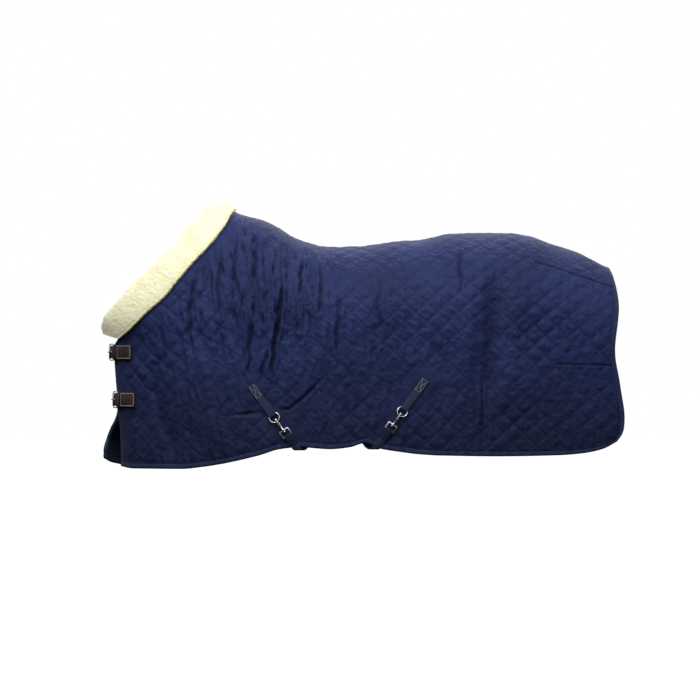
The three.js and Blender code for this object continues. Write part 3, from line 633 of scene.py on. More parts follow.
class Palette:
    """Every finish of the rug, made once."""

    def __init__(self) -> None:
        """Builds the shared effects and each finish."""
        self.weave = weave_group()
        self.wear = wear_group()
        self.shell = self.quilted_shell()
        self.trim = self.tape("navy_trim", rgb(42, 54, 90), 0.9 * MM)
        self.lining = self.tape("lining_taffeta", rgb(38, 44, 70), 0.6 * MM)
        self.webbing = self.tape("navy_webbing", rgb(38, 45, 74), 1.9 * MM)
        self.fleece = self.sherpa()
        self.leather = self.bridle_leather()
        self.pale_thread = self.thread("pale_thread", rgb(206, 196, 174))
        self.green_thread = self.thread("grey_green_thread", rgb(158, 170, 162))
        self.steel = self.nickel()

    def quilted_shell(self) -> bpy.types.Material:
        """Navy polyester with sewn diamonds and puckers beside the stitching, with painted shade in the
        stitched valleys, in the creases and towards the hem.
        """
        f = Finish("navy_shell", 0.62, 0.12)
        n = f.n
        cloth = f.cloth()
        weave = f.place(self.weave, vector=cloth, pitch=1.4 * MM)
        wear = f.place(self.wear, vector=f.solid(), scale=5.0)
        (count_a, near_a), (count_b, near_b) = QUILTING.line_distance(f)
        thread = None
        pucker = None
        for near, other in ((near_a, count_b), (near_b, count_a)):
            dash = n.ramp(n.math("ABSOLUTE", n.math("SINE", n.math("MULTIPLY", other, 38.0))), 0.25, 0.5)
            row = n.math("MULTIPLY", n.ramp(near, 0.4 * MM, 1.1 * MM, 1, 0), dash)
            gather = n.math("SINE", n.math("MULTIPLY", other, 31.0))
            beside = n.math("MULTIPLY", n.ramp(near, 2 * MM, 13 * MM, 1, 0), gather)
            thread = row if thread is None else n.math("MAXIMUM", thread, row)
            pucker = beside if pucker is None else n.math("ADD", pucker, beside)
        near = n.math("MINIMUM", near_a, near_b)
        shade = n.mix(n.ramp(wear.outputs["Patches"], 0.3, 0.75), rgb(33, 43, 84), rgb(40, 51, 98))
        # painted shade: the cloth darkens within 4 mm of the stitched lines, where the quilting sinks into
        # valleys
        painted_valley_shade = n.ramp(near, 0.5 * MM, 4 * MM, 0.22, 0)
        shade = n.mix(painted_valley_shade, shade, rgb(24, 29, 54))
        shade = n.mix(n.math("MULTIPLY", thread, 0.1), shade, rgb(70, 80, 118))
        # painted shade: the colour darkens towards near black where the crease attribute says the cloth lies
        # deep in a fold, dart or tuck
        crease = n.add("Attribute", attribute_name="crease")
        shade = n.mix(n.ramp(crease.outputs["Fac"], 0.1, 1.0, 0, 0.72), shade, rgb(12, 15, 30))
        # painted shade: the colour darkens lower than 0.3 m below the origin, towards the hem, where less
        # light reaches the cloth from above
        height = n.add("SeparateXYZ")
        n.feed(height.inputs[0], f.solid())
        shade = n.mix(n.ramp(height.outputs[2], -0.3, -0.72, 0, 0.6), shade, rgb(20, 25, 44))
        tone = n.add("Mix", data_type="RGBA", blend_type="MULTIPLY")
        n.feed(tone.inputs[0], 1.0)
        n.feed(tone.inputs[6], shade)
        n.feed(tone.inputs[7], weave.outputs["Shade"])
        f.set("Base Color", tone.outputs[2])
        f.set("Roughness", n.ramp(wear.outputs["Specks"], 0.3, 0.7, 0.55, 0.7))
        f.set("Sheen Weight", 0.04)
        f.set("Sheen Roughness", 0.4)
        crumple = n.noise(cloth, 55.0, 4, 0.6)
        relief = n.math("ADD", n.math("MULTIPLY", pucker, 0.14), crumple)
        first = n.bump(relief, 0.55, 2.2 * MM)
        f.set("Normal", n.bump(weave.outputs["Height"], 0.25, 0.25 * MM, first))
        return f.material

    def tape(self, name: str, colour: tuple, pitch: float) -> bpy.types.Material:
        """A woven tape or lining, with painted shade between its threads.

        Args:
            name: the material's name.
            colour: its main colour.
            pitch: the distance between threads, in metres.

        Returns:
            The material.
        """
        f = Finish(name, 0.6, 0.15)
        n = f.n
        weave = f.place(self.weave, vector=f.cloth(), pitch=pitch)
        wear = f.place(self.wear, vector=f.solid(), scale=14.0)
        shade = n.mix(n.ramp(wear.outputs["Patches"], 0.35, 0.7), dim(colour, 0.78), colour)
        # painted shade: the colour darkens where the weave sinks between its threads
        shade = n.mix(n.ramp(weave.outputs["Height"], 0.1, 0.5, 0.45, 0), shade, dim(colour, 0.4))
        f.set("Base Color", shade)
        f.set("Sheen Weight", 0.04)
        f.set("Sheen Roughness", 0.5)
        f.set("Normal", n.bump(weave.outputs["Height"], 0.5, 0.4 * MM))
        return f.material

    def sherpa(self) -> bpy.types.Material:
        """Cream fleece with small curls, painted shade between them and a faint painted glow."""
        f = Finish("cream_fleece", 0.95, 0.15)
        n = f.n
        solid = f.solid()
        curls = n.add("TexVoronoi", feature="SMOOTH_F1")
        n.feed(curls.inputs["Vector"], solid)
        n.feed(curls.inputs["Scale"], 150.0)
        fine = n.noise(solid, 420.0, 3, 0.6)
        slow = n.noise(solid, 22.0, 3)
        rolled = n.math("MULTIPLY", curls.outputs["Distance"], -1.2)
        height = n.math("ADD", rolled, n.math("MULTIPLY", fine, 0.5))
        shade = n.mix(n.ramp(slow, 0.3, 0.7), rgb(240, 236, 194), rgb(250, 247, 214))
        # painted shade: the fleece darkens in the hollows between its curls
        shade = n.mix(n.ramp(curls.outputs["Distance"], 0.35, 0.75, 0, 0.3), shade, rgb(206, 198, 152))
        f.set("Base Color", shade)
        f.set("Sheen Weight", 0.35)
        f.set("Sheen Roughness", 0.6)
        # painted light: the fleece glows faintly in its own colour, though it is no lamp
        f.set("Emission Color", shade)
        f.set("Emission Strength", 0.17)
        f.set("Subsurface Weight", 0.12)
        f.set("Subsurface Radius", (0.004, 0.003, 0.002))
        f.set("Normal", n.bump(height, 0.5, 2.2 * MM))
        return f.material

    def bridle_leather(self) -> bpy.types.Material:
        """Dark brown leather with a fine grain and paler worn patches."""
        f = Finish("bridle_leather", 0.5, 0.25)
        n = f.n
        solid = f.solid()
        wear = f.place(self.wear, vector=solid, scale=28.0)
        grain = n.add("TexVoronoi", feature="DISTANCE_TO_EDGE")
        n.feed(grain.inputs["Vector"], solid)
        n.feed(grain.inputs["Scale"], 900.0)
        shade = n.mix(n.ramp(wear.outputs["Patches"], 0.3, 0.7), rgb(46, 36, 38), rgb(66, 53, 52))
        shade = n.mix(n.ramp(wear.outputs["Specks"], 0.55, 0.8, 0, 0.4), shade, rgb(86, 70, 64))
        f.set("Base Color", shade)
        f.set("Roughness", n.ramp(wear.outputs["Patches"], 0.3, 0.7, 0.38, 0.55))
        f.set("Normal", n.bump(grain.outputs["Distance"], 0.3, 0.3 * MM))
        return f.material

    def thread(self, name: str, colour: tuple) -> bpy.types.Material:
        """Waxed sewing thread of one colour."""
        f = Finish(name, 0.6, 0.3)
        n = f.n
        twist = n.noise(f.solid(), 1500.0, 2)
        f.set("Base Color", n.mix(n.ramp(twist, 0.3, 0.7, 0, 0.5), colour, dim(colour, 0.6)))
        return f.material

    def nickel(self) -> bpy.types.Material:
        """Nickel plated steel with faint handling marks."""
        f = Finish("nickel_plate", 0.24, 0.5, 1.0)
        n = f.n
        wear = f.place(self.wear, vector=f.solid(), scale=60.0)
        worn = n.ramp(wear.outputs["Patches"], 0.3, 0.7)
        f.set("Base Color", n.mix(worn, rgb(205, 205, 203), rgb(232, 232, 230)))
        f.set("Roughness", n.ramp(wear.outputs["Specks"], 0.3, 0.7, 0.16, 0.34))
        f.set("Normal", n.bump(wear.outputs["Specks"], 0.08, 0.2 * MM))
        return f.material


def lay_out(along: Array, across: Array) -> Array:
    """Cloth coordinates for every pair of places along and across."""
    return np.stack(np.broadcast_arrays(along[:, None], across[None]), -1)


def dress(piece: bpy.types.Object, material: bpy.types.Material, slot: str, body: str, *nodes: str) -> None:
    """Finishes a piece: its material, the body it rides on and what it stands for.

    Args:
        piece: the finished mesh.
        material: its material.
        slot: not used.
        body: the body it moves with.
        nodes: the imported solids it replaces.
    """
    piece.data.materials.clear()
    piece.data.materials.append(material)
    if nodes:
        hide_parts(*nodes)
    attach(piece, body)
    log.info("%s: %d faces", piece.name, len(piece.data.polygons))


# ---------- the rug's form ----------

TOPLINE = through([(-900, 780), (-700, 500), (-600, 375), (-500, 262), (-450, 205), (-420, 170),
    (-394, 149), (-265, 109), (-146, 43), (-36, 18), (73, 21), (219, 40), (292, 44), (401, 66),
    (510, 70), (620, 69), (694, 58), (767, 32), (876, -4), (949, -41), (993, -63), (1100, -125)])
HALF_WIDTH = through([(-1000, 200), (-850, 222), (-700, 240), (-560, 262), (-420, 292),
    (-345, 304), (400, 304), (600, 298), (800, 282), (950, 260), (1100, 232)])
SHOULDER_DROP = through([(-900, 560), (-544, 500), (-400, 420), (-200, 340), (0, 300),
    (600, 285), (1100, 300)])
CHEST_UPPER = [(-333, -841), (-289, -862), (-245, -887), (-150, -918), (0, -968), (200, -1045),
    (800, -1250)]
CHEST_LINE = {
    Side.NEAR: through([(-900, -812), (-793, -812), (-700, -812), (-640, -816), (-585, -821),
        (-544, -824), (-500, -828), (-442, -834), (-380, -836), *CHEST_UPPER]),
    Side.OFF: through([(-900, -880), (-763, -880), (-700, -876), (-660, -858), (-600, -831),
        (-544, -829), (-500, -831), (-442, -834), (-380, -836), *CHEST_UPPER]),
}
HEM_REAR = [(-438, -778), (-365, -763), (-292, -745), (-219, -723), (-146, -716), (-36, -723),
    (36, -716), (90, -701), (146, -721), (219, -733), (292, -742), (365, -746), (584, -749),
    (803, -745), (894, -737), (960, -722), (1008, -697)]
HEM = {
    Side.NEAR: through([(-803, -790), (-766, -796), (-584, -796), (-511, -789), *HEM_REAR]),
    Side.OFF: through([(-872, -763), (-846, -778), (-766, -792), (-584, -796), (-511, -789),
        *HEM_REAR]),
}
HEM_CORNER = {Side.NEAR: -805, Side.OFF: -872}
NECK_SEAM = [(-394, 149), (-409, 130), (-442, 76), (-489, 18), (-544, -41), (-595, -99),
    (-642, -158), (-708, -216), (-767, -274), (-812, -316)]
COLLAR_EDGE = [(-431, 183), (-460, 180), (-495, 155), (-547, 102), (-591, 44), (-646, -14),
    (-704, -72), (-767, -130), (-820, -190), (-862, -238), (-880, -288)]
REAR_EDGE = [(993, -63), (1004, -95), (1021, -194), (1004, -369), (1021, -479), (1039, -610),
    (1032, -664), (1008, -697)]
CLOSURE_HEIGHTS = (-352, -410, -480, -544, -600, -660, -720)
CHEST_DEPTH = 350.0
NECK_TAPER = 60.0
NECK_X, TAIL_X, HEM_REAR_X = -394.0, 993.0, 1008.0
BARREL = 304.0
LAYER_GAP = 0.4
SAMPLES = 400
EDGE_INSET = 5.0
STRAP_HEIGHTS = {"upper": -370.0, "lower": -544.0}
PRESSED = 2.2
TUCK_DEPTH = 6.5
SEAM_DIP, SEAM_WIDTH = 3.0, 7.0
TAPE_WRAP = 12.6
PIN_LEVELS = 5
FRONT_TAPE_CHANGE = -0.33


def half_width(side: Side, x: Array, z: Array) -> Array:
    """How far the rug's outer face stands from the middle plane.

    Args:
        side: the half of the rug.
        x: places along the horse.
        z: heights.

    Returns:
        Distances in millimetres.
    """
    beside = NECK_TAPER * ease((z + 300) / 400) * ease((-300 - x) / 250)
    return (
        (HALF_WIDTH(x) - beside)
        * arch((TOPLINE(x) - z) / SHOULDER_DROP(x))
        * arch((x - CHEST_LINE[side](z)) / CHEST_DEPTH)
    )


def line_gap(line: Sequence[tuple[float, float]], x: Array, z: Array) -> tuple[Array, Array, float]:
    """Finds how far places lie from a line of points.

    Args:
        line: the line's corners.
        x: places along the horse.
        z: heights.

    Returns:
        Distances to the line, how far along it the nearest points lie, and its length.
    """
    nearest = np.full(x.shape, 1e9)
    travel = np.zeros(x.shape)
    done = 0.0
    for (ax, az), (bx, bz) in zip(line, line[1:]):
        dx, dz = bx - ax, bz - az
        t = np.clip(((x - ax) * dx + (z - az) * dz) / (dx * dx + dz * dz), 0, 1)
        gap = np.hypot(x - ax - t * dx, z - az - t * dz)
        travel = np.where(gap < nearest, done + t * math.hypot(dx, dz), travel)
        nearest = np.minimum(nearest, gap)
        done += math.hypot(dx, dz)
    return nearest, travel, done


@dataclass(frozen=True)
class Fold:
    """A soft crease along a line of places, or a sewn dart."""

    line: tuple[tuple[float, float], ...]
    depth: float
    width: float
    shoulder: float = 0.35
    sewn: bool = False

    def at(self, x: Array, z: Array) -> Array:
        """How far the cloth moves out of its smooth form, at places on the flank."""
        nearest, travel, done = line_gap(self.line, x, z)
        taper = 1.0 if self.sewn else ease(travel / (0.3 * done)) * ease((done - travel) / (0.3 * done))
        width = self.width * (0.55 + 0.45 * taper)
        r = nearest / width
        return taper * self.depth * (self.shoulder * np.exp(-((r - 1.9) ** 2)) - np.exp(-(r**2)))


FOLDS = (
    Fold(((-205, -60), (-215, -200), (-238, -330), (-250, -520)), 19, 7.5, 0.3),
    Fold(((-238, -300), (-290, -470), (-300, -640)), 10, 7, 0.25),
    Fold(((-131, -2), (-146, -190)), 12, 6, 0.2),
    Fold(((-322, -240), (-330, -500)), 11, 7, 0.3),
    Fold(((0, -110), (-8, -440)), 8, 8),
    Fold(((-440, -606), (-182, -577), (-20, -430)), 9, 7, 0.1),
    Fold(((522, -460), (520, -700)), 8, 6, 0.3),
    Fold(((-510, -20), (-552, -240), (-535, -420)), 8, 7),
    Fold(((-428, 50), (-448, -140), (-425, -290)), 9, 6.5),
    Fold(((-372, 110), (-385, -60), (-370, -200)), 8, 6),
    Fold(((-300, 80), (-312, -160)), 7, 6),
    Fold(((-60, -20), (-78, -250)), 8, 7),
    Fold(((-650, -230), (-640, -440)), 6, 9),
    Fold(((150, -50), (140, -210), (165, -350)), 6, 8),
    Fold(((434, 40), (442, -170)), 7, 7),
    Fold(((-705, -400), (-640, -640), (-600, -760)), 6, 16),
)
HOLLOW = Fold(((585, -20), (560, -230), (540, -420), (548, -620)), 20, 42, 0.25)
DARTS = (
    Fold(((710, -37), (993, -132)), 3.6, 3.2, 0.2, True),
    Fold(((788, -413), (993, -419)), 3.6, 3.2, 0.2, True),
)
STRAP_LEAN = math.radians(36)
PATCHES = {"front": (-308.0, -512.0, 1), "rear": (296.0, -491.0, -1)}


class RugSide:
    """One half of the rug: its form, its drape and the cloth's own coordinates."""

    def __init__(self, side: Side) -> None:
        """Lays out the edges of one half."""
        self.side = side
        corner_x = float(HEM_CORNER[side])
        self.corner = np.array([corner_x, float(HEM[side](corner_x))])
        inset = CHEST_DEPTH * (1 - math.cos(math.radians(10)))
        closure = [(float(CHEST_LINE[side](z)) + inset, z) for z in CLOSURE_HEIGHTS]
        self.front = even_curve([*NECK_SEAM, *closure, tuple(self.corner)])
        self.rear = even_curve(REAR_EDGE)

    def flat(self, u: Array, f: Array) -> tuple[Array, Array]:
        """The place along and the height of points of the half.

        Args:
            u: shares of the way from the front edge to the rear edge.
            f: shares of the way from the spine to the hem.

        Returns:
            Places along the horse and heights.
        """
        u, f = np.broadcast_arrays(np.asarray(u, float), np.asarray(f, float))

        def top(v: Array) -> Array:
            """Points along the spine."""
            x = NECK_X + (TAIL_X - NECK_X) * v
            return np.stack([x, TOPLINE(x)], -1)

        def bottom(v: Array) -> Array:
            """Points along the hem."""
            x = self.corner[0] + (HEM_REAR_X - self.corner[0]) * v
            return np.stack([x, HEM[self.side](x)], -1)

        a, b = u[..., None], f[..., None]
        ends = [np.zeros_like(u), np.ones_like(u)]
        place = (
            self.front(f) * (1 - a) + self.rear(f) * a + top(u) * (1 - b) + bottom(u) * b
            - top(ends[0]) * (1 - a) * (1 - b) - bottom(ends[0]) * (1 - a) * b
            - top(ends[1]) * a * (1 - b) - bottom(ends[1]) * a * b
        )
        x = place[..., 0]
        z = np.where(f == 0, TOPLINE(x), place[..., 1])
        return x, z

    def at(self, u: Array, f: Array) -> Array:
        """Points of the smooth outer face."""
        x, z = self.flat(u, f)
        y = self.side.value * (half_width(self.side, x, z) + LAYER_GAP)
        return np.stack([x, y, z], -1)

    def normal(self, u: Array, f: Array) -> Array:
        """Directions out of the rug."""
        u, f = np.broadcast_arrays(np.asarray(u, float), np.asarray(f, float))
        h = 1e-3
        along = self.at(np.minimum(u + h, 1), f) - self.at(np.maximum(u - h, 0), f)
        down = self.at(u, np.minimum(f + h, 1)) - self.at(u, np.maximum(f - h, 0))
        out = np.cross(along, down) * self.side.value
        out[f == 0, 1] = 0
        return unit(out)

    def drape(self, x: Array, z: Array) -> Array:
        """How far folds and slack move the cloth out of its smooth form."""
        move = np.zeros(x.shape)
        wx, wz = self.wander(x, z)
        for fold in (*FOLDS, HOLLOW):
            move += fold.at(wx, wz)
        for dart in DARTS:
            move += dart.at(x, z)
        seed = 11.0 if self.side is Side.NEAR else 53.0
        upright = np.stack([wx / 30, z / 170], -1)
        ridges = 1 - 2.6 * np.abs(noise_at(upright, seed)) ** 0.8
        slack = ease((x + 620) / 120) * ease((60 - x) / 160) * ease((z + 420) / 200)
        slack += 0.45 * ease((-200 - z) / 200) * ease((700 - x) / 300)
        slack += 0.25
        move += 6.5 * slack * ridges - 3.2 * slack
        broad = np.stack([x / 210, z / 190], -1)
        move += 5.0 * noise_at(broad, seed + 5)
        swing = ease((-520 - z) / 230) * np.sin(x / 63 + 1.3 * np.sin(x / 171 + seed))
        move += 3.6 * swing
        return move * self.calm(x, z)

    def wander(self, x: Array, z: Array) -> tuple[Array, Array]:
        """Where a place lies once the folds' own waver is taken out."""
        near = self.side is Side.NEAR
        waver = noise_at(np.stack([x / 120, z / 55], -1), 17.0)
        waver = waver + 0.35 * np.abs(np.mod(z / (QUILTING.down / 2), 2) - 1)
        return x + 8 * waver + (0 if near else 47), z + (0 if near else 23)

    def tucks(self, x: Array, z: Array, along: Array, deep: Array) -> Array:
        """Short upright tucks where the slack shoulder gathers between stitched corners."""
        column = along / (QUILTING.across / 2)
        shift = 0.28 * noise_at(np.stack([column * 0.9, deep / 60], -1), 83.0 + self.side.value)
        nearest = np.rint(column + shift)
        across = np.abs(column + shift - nearest) * QUILTING.across / 2
        row = deep / QUILTING.down + 0.5 * np.mod(nearest, 2)
        run = np.clip(0.62 + 0.5 * np.cos(2 * np.pi * (row - 0.12)), 0, 1)
        chance = noise_at(np.stack([nearest * 0.77, np.rint(row) * 0.83], -1), 29.0 + self.side.value)
        slack = ease((x + 640) / 130) * ease((70 - x) / 150) * ease((z + 400) / 170)
        slack += 0.4 * ease((x - 40) / 80) * ease((330 - x) / 120) * ease((z + 240) / 120)
        strength = ease((chance + 0.42) / 0.45) * slack
        return strength * run * np.exp(-((across / 5.4) ** 2))

    def creases(self, x: Array, z: Array, along: Array, deep: Array) -> Array:
        """How deeply places lie in folds, darts and tucks, from 0 to 1, which sets the shade painted into the
        shell's colour.
        """
        wx, wz = self.wander(x, z)
        depth = np.zeros(x.shape)
        for fold in FOLDS:
            depth = np.maximum(depth, -fold.at(wx, wz) / 11)
        for dart in DARTS:
            depth = np.maximum(depth, -dart.at(x, z) / 3.2)
        depth = np.maximum(depth, -HOLLOW.at(wx, wz) / 34) * self.calm(x, z)
        tucked = self.tucks(x, z, along, deep) * self.calm(x, z)
        return np.clip(np.maximum(depth, 1.15 * tucked), 0, 1)

    def calm(self, x: Array, z: Array) -> Array:
        """How freely the cloth may move: held by straps, patches, the collar and the spine."""
        free = np.ones(x.shape)
        for patch_x, patch_z, run in PATCHES.values():
            down = np.array([run * math.sin(STRAP_LEAN), -math.cos(STRAP_LEAN)])
            a = (x - patch_x) * down[0] + (z - patch_z) * down[1]
            b = (x - patch_x) * down[1] - (z - patch_z) * down[0]
            far = np.hypot(np.maximum(np.abs(a - 125) - 160, 0), np.maximum(np.abs(b) - 22, 0))
            free *= 0.01 + 0.99 * ease(far / 45)
        strap = np.min([np.abs(z - height) for height in STRAP_HEIGHTS.values()], axis=0)
        chest = np.hypot(np.maximum(strap - 32, 0), np.maximum(x + 735, 0))
        free *= 0.05 + 0.95 * ease(chest / 45)
        top = TOPLINE(x) - z
        free *= 0.12 + 0.88 * ease(top / 90)
        neck = line_gap([tuple(place) for place in NECK_SEAM], x, z)[0]
        edge = x - CHEST_LINE[self.side](z) + np.where(z < -330, 0, 1e3)
        free *= 0.04 + 0.96 * ease((np.minimum(neck, edge) - 8) / 70)
        return free

    def cloth(self, x: Array, z: Array) -> tuple[Array, Array]:
        """How far along and down the flat cloth points of the half are.

        Args:
            x: places along the horse.
            z: heights.

        Returns:
            Lengths over the cloth, from its middle and from the spine.
        """
        shares = np.linspace(0, 1, 40)
        top = TOPLINE(x)
        deep = np.zeros(x.shape)
        last = None
        for s in shares:
            height = top - (top - z) * s * s
            here = (half_width(self.side, x, height), height)
            if last is not None:
                deep += np.hypot(here[0] - last[0], here[1] - last[1])
            last = here
        deep -= top
        along = np.where(x > -300, x, -300.0)
        last = None
        for s in shares:
            place = -300 + (np.minimum(x, -300) + 300) * (1 - (1 - s) ** 2)
            here = (half_width(self.side, place, np.minimum(z, TOPLINE(place) - 8)), place)
            if last is not None:
                along -= np.hypot(here[0] - last[0], here[1] - last[1])
            last = here
        return along, deep

    def even_shares(self, columns: int, rows: int) -> tuple[Array, Array]:
        """Shares along and down that are evenly spaced over the cloth.

        Args:
            columns: how many places along.
            rows: how many places down.

        Returns:
            Shares along and shares down.
        """
        fine = np.linspace(0, 1, SAMPLES)
        along = travel(self.at(fine, np.full(SAMPLES, 0.6)))
        down = travel(self.at(np.full(SAMPLES, 0.5), fine))
        return tuple(
            np.interp(np.linspace(0, 1, count), length / length[-1], fine)
            for length, count in ((along, columns), (down, rows))
        )

    def lengths(self) -> tuple[float, float]:
        """The half's greatest length over the cloth along and down, in millimetres."""
        fine = np.linspace(0, 1, SAMPLES)
        along = self.at(fine, np.full(SAMPLES, 0.9))
        down = self.at(np.full(SAMPLES, 0.25), fine)
        return tuple(
            float(np.linalg.norm(np.diff(line, axis=0), axis=1).sum()) for line in (along, down)
        )


@dataclass
class Quilt:
    """Both halves of the quilted body, with their lining, bindings and spine tape."""

    palette: Palette
    columns: int = 400
    rows: int = 200
    puff: float = 6.2
    slack: float = 0.03
    pressure: float = 1.2
    frames: int = 12
    puff_limit: float = 2.6
    binding: float = 18.0
    proud: float = 0.8
    inner: float = 13.6
    halves: dict[Side, RugSide] = field(default_factory=lambda: {s: RugSide(s) for s in Side})

    def build(self) -> None:
        """Makes every piece of both halves."""
        for side, half in self.halves.items():
            self.add_shell(side, half)
            self.add_lining(side, half)
            self.add_bindings(side, half)
        self.add_spine_tape()

    def edge_fade(self, half: RugSide, u: Array, f: Array) -> Array:
        """0 where the quilt is pressed flat under its bindings, 1 away from them."""
        long, deep = half.lengths()
        gap = np.minimum(np.minimum(u, 1 - u) * long, (1 - f) * deep)
        return ease((gap - self.binding * 0.7) / 26)

    @staticmethod
    def grid(half: RugSide, columns: int, rows: int) -> tuple[Array, ...]:
        """Even places over a half, just inside its edges.

        Args:
            half: the half of the rug.
            columns: how many places along.
            rows: how many places down.

        Returns:
            Shares along and down, places along and heights, and cloth lengths along and down.
        """
        us, fs = half.even_shares(columns, rows)
        long, deep = half.lengths()
        us = EDGE_INSET / long + us * (1 - 2 * EDGE_INSET / long)
        u, f = np.meshgrid(us, fs * (1 - EDGE_INSET / deep))
        x, z = half.flat(u, f)
        return (u, f, x, z, *half.cloth(x, z))

    @staticmethod
    def mark_painted_crease_shade(piece: bpy.types.Object, values: Array) -> None:
        """Stores how deeply each point of a sheet lies in a crease, for the shade painted into the shell's
        colour there.
        """
        layer = piece.data.attributes.new("crease", "FLOAT", "POINT")
        layer.data.foreach_set("value", values.astype(np.float32).ravel())

    def add_shell(self, side: Side, half: RugSide) -> None:
        """Makes the padded outer layer with its sewn diamonds."""
        u, f, x, z, along, down = self.grid(half, self.columns, self.rows)
        base, out = half.at(u, f), half.normal(u, f)
        wobble = noise_at(np.stack([along / 90, down / 90], -1), 7.0) * 3.0
        a, b = QUILTING.lines(along + wobble, down - wobble)
        reach = [np.abs(c - np.rint(c)) * QUILTING.spacing() for c in (a, b)]
        near = -2.5 * np.log(np.exp(-reach[0] / 2.5) + np.exp(-reach[1] / 2.5))
        dome = (np.abs(np.sin(np.pi * a)) * np.abs(np.sin(np.pi * b))) ** 0.7
        pillow = 0.45 * (1 - np.exp(-np.maximum(near, 0) / 6.5)) + 0.55 * dome
        crumple = noise_at(np.stack([along / 17, down / 26], -1), 3.0) * 0.9
        for dart in DARTS:
            pillow *= 1 - 0.8 * (dart.at(x, z) < -1.5)
        fade = self.edge_fade(half, u, f)
        crisp = self.crispness(side, x, z, down + TOPLINE(x))
        tucks = half.tucks(x, z, along, down)
        calm = half.calm(x, z)
        lift = self.puff * crisp * (pillow - 1) * fade + half.drape(x, z)
        lift += (crumple - TUCK_DEPTH * tucks) * fade * calm
        lift -= PRESSED * (1 - fade)
        seam = SEAM_DIP * np.exp(-(((down + TOPLINE(x)) / SEAM_WIDTH) ** 2))
        places = base + out * (lift - seam)[..., None]
        cloth = np.stack([along + wobble, down - wobble], -1)
        piece = Bench.sheet(f"quilted_shell_{side.word}", places, cloth)
        self.mark_painted_crease_shade(piece, half.creases(x, z, along, down))
        self.outwards(piece, side)
        self.settle(piece, np.maximum(np.exp(-((near / 3.4) ** 2)), 1 - fade * calm))
        dress(piece, self.palette.shell, "shell", "rug", f"outer_shell_{side.word}", f"wadding_{side.word}")
        self.as_sheet(half)

    def settle(self, piece: bpy.types.Object, held: Array) -> None:
        """Lets the filled cloth puff and pucker between its stitching, by simulation.

        Args:
            piece: the sheet.
            held: how firmly each of its points is kept in place, from 0 to 1.
        """
        scene = bpy.context.scene
        start = Bench.points(piece)
        pins = piece.vertex_groups.new(name="held")
        level = np.rint(np.clip(held.ravel(), 0, 1) * PIN_LEVELS).astype(int)
        for step in range(1, PIN_LEVELS + 1):
            pins.add(np.flatnonzero(level == step).tolist(), step / PIN_LEVELS, "REPLACE")
        cloth = piece.modifiers.new("settle", "CLOTH")
        cloth.settings.quality = 3
        cloth.settings.mass = 0.25
        cloth.settings.bending_stiffness = 0.4
        cloth.settings.shrink_min = -self.slack
        cloth.settings.use_pressure = True
        cloth.settings.uniform_pressure_force = self.pressure
        cloth.settings.vertex_group_mass = pins.name
        cloth.settings.effector_weights.gravity = 0
        cloth.collision_settings.use_collision = False
        cloth.point_cache.frame_end = self.frames
        for frame in range(1, self.frames + 1):
            scene.frame_set(frame)
        Bench.pick(piece)
        bpy.ops.object.modifier_apply(modifier=cloth.name)
        scene.frame_set(1)
        piece.vertex_groups.clear()
        move = Bench.points(piece) - start
        far = np.linalg.norm(move, axis=1, keepdims=True)
        log.info("%s settled by up to %.1f mm", piece.name, far.max() / MM)
        move *= np.minimum(1, self.puff_limit * MM / np.maximum(far, 1e-9))
        Bench.put(piece, start + move)

    def crispness(self, side: Side, x: Array, z: Array, down: Array) -> Array:
        """How deep the stitched lines sink, from faint to full, at places of a half.

        Args:
            side: the half of the rug.
            x: places along the horse.
            z: heights.
            down: lengths over the cloth from the spine.

        Returns:
            Shares of the full depth.
        """
        patchy = noise_at(np.stack([x / 160, z / 140], -1), 61.0 + 13 * side.value)
        rump = ease((x - 560) / 160) * ease((420 - down) / 160)
        low = ease((-250 - z) / 300)
        gathered = ease((x + 640) / 130) * ease((40 - x) / 150) * ease((z + 330) / 170)
        return np.clip(0.52 + 0.8 * patchy - 0.35 * rump - 0.22 * low - 0.4 * gathered, 0.1, 1.1)

    @staticmethod
    def outwards(piece: bpy.types.Object, side: Side) -> None:
        """Turns an open sheet so that its faces point away from the horse."""
        faces = piece.data.polygons
        if faces[len(faces) // 2].normal.y * side.value < 0:
            with Bench.editing(piece):
                bpy.ops.mesh.flip_normals()

    def as_sheet(self, half: RugSide) -> None:
        """Works out the cut size and a grid of points of one half's layer, but uses neither."""
        long, deep = (length * MM for length in half.lengths())
        u, f = np.meshgrid(np.linspace(0, 1, 120), np.linspace(0, 1, 80))
        p = half.at(u, f) * MM

    def add_lining(self, side: Side, half: RugSide) -> None:
        """Makes the smooth inner layer, which shows at the chest and under the hem."""
        u, f, x, z, along, down = self.grid(half, self.columns // 2, self.rows // 2)
        a, b = QUILTING.lines(along, down)
        dome = (np.abs(np.sin(np.pi * a)) * np.abs(np.sin(np.pi * b))) ** 0.6
        lift = half.drape(x, z) - self.inner + PRESSED - PRESSED * dome * self.edge_fade(half, u, f)
        places = half.at(u, f) + half.normal(u, f) * lift[..., None]
        piece = Bench.sheet(f"lining_panel_{side.word}", places, np.stack([along, down], -1))
        self.outwards(piece, side)
        Bench.modify(piece, "SOLIDIFY", thickness=0.9 * MM, offset=1.0)
        Bench.pick(piece)
        bpy.ops.object.shade_smooth()
        dress(piece, self.palette.lining, "lining", "rug", f"lining_{side.word}")
        self.as_sheet(half)

    def binding_section(self) -> Array:
        """The folded tape in section: places in from the edge, and depths."""
        nose = 6.4
        middle = (self.proud - TAPE_WRAP) / 2
        turn = np.linspace(math.pi / 2, 3 * math.pi / 2, 9)
        round_edge = [(nose + nose * math.cos(t), middle + 6.7 * math.sin(t)) for t in turn]
        w = self.binding
        outer = [(w, -0.9), (w - 0.6, self.proud - 0.2), (w - 2.2, self.proud), (w * 0.62, self.proud)]
        inner = [(w * 0.62, -TAPE_WRAP), (w - 2.2, -TAPE_WRAP), (w - 0.6, 0.3 - TAPE_WRAP), (w, -11.0)]
        return np.array([*outer, *round_edge, *inner])

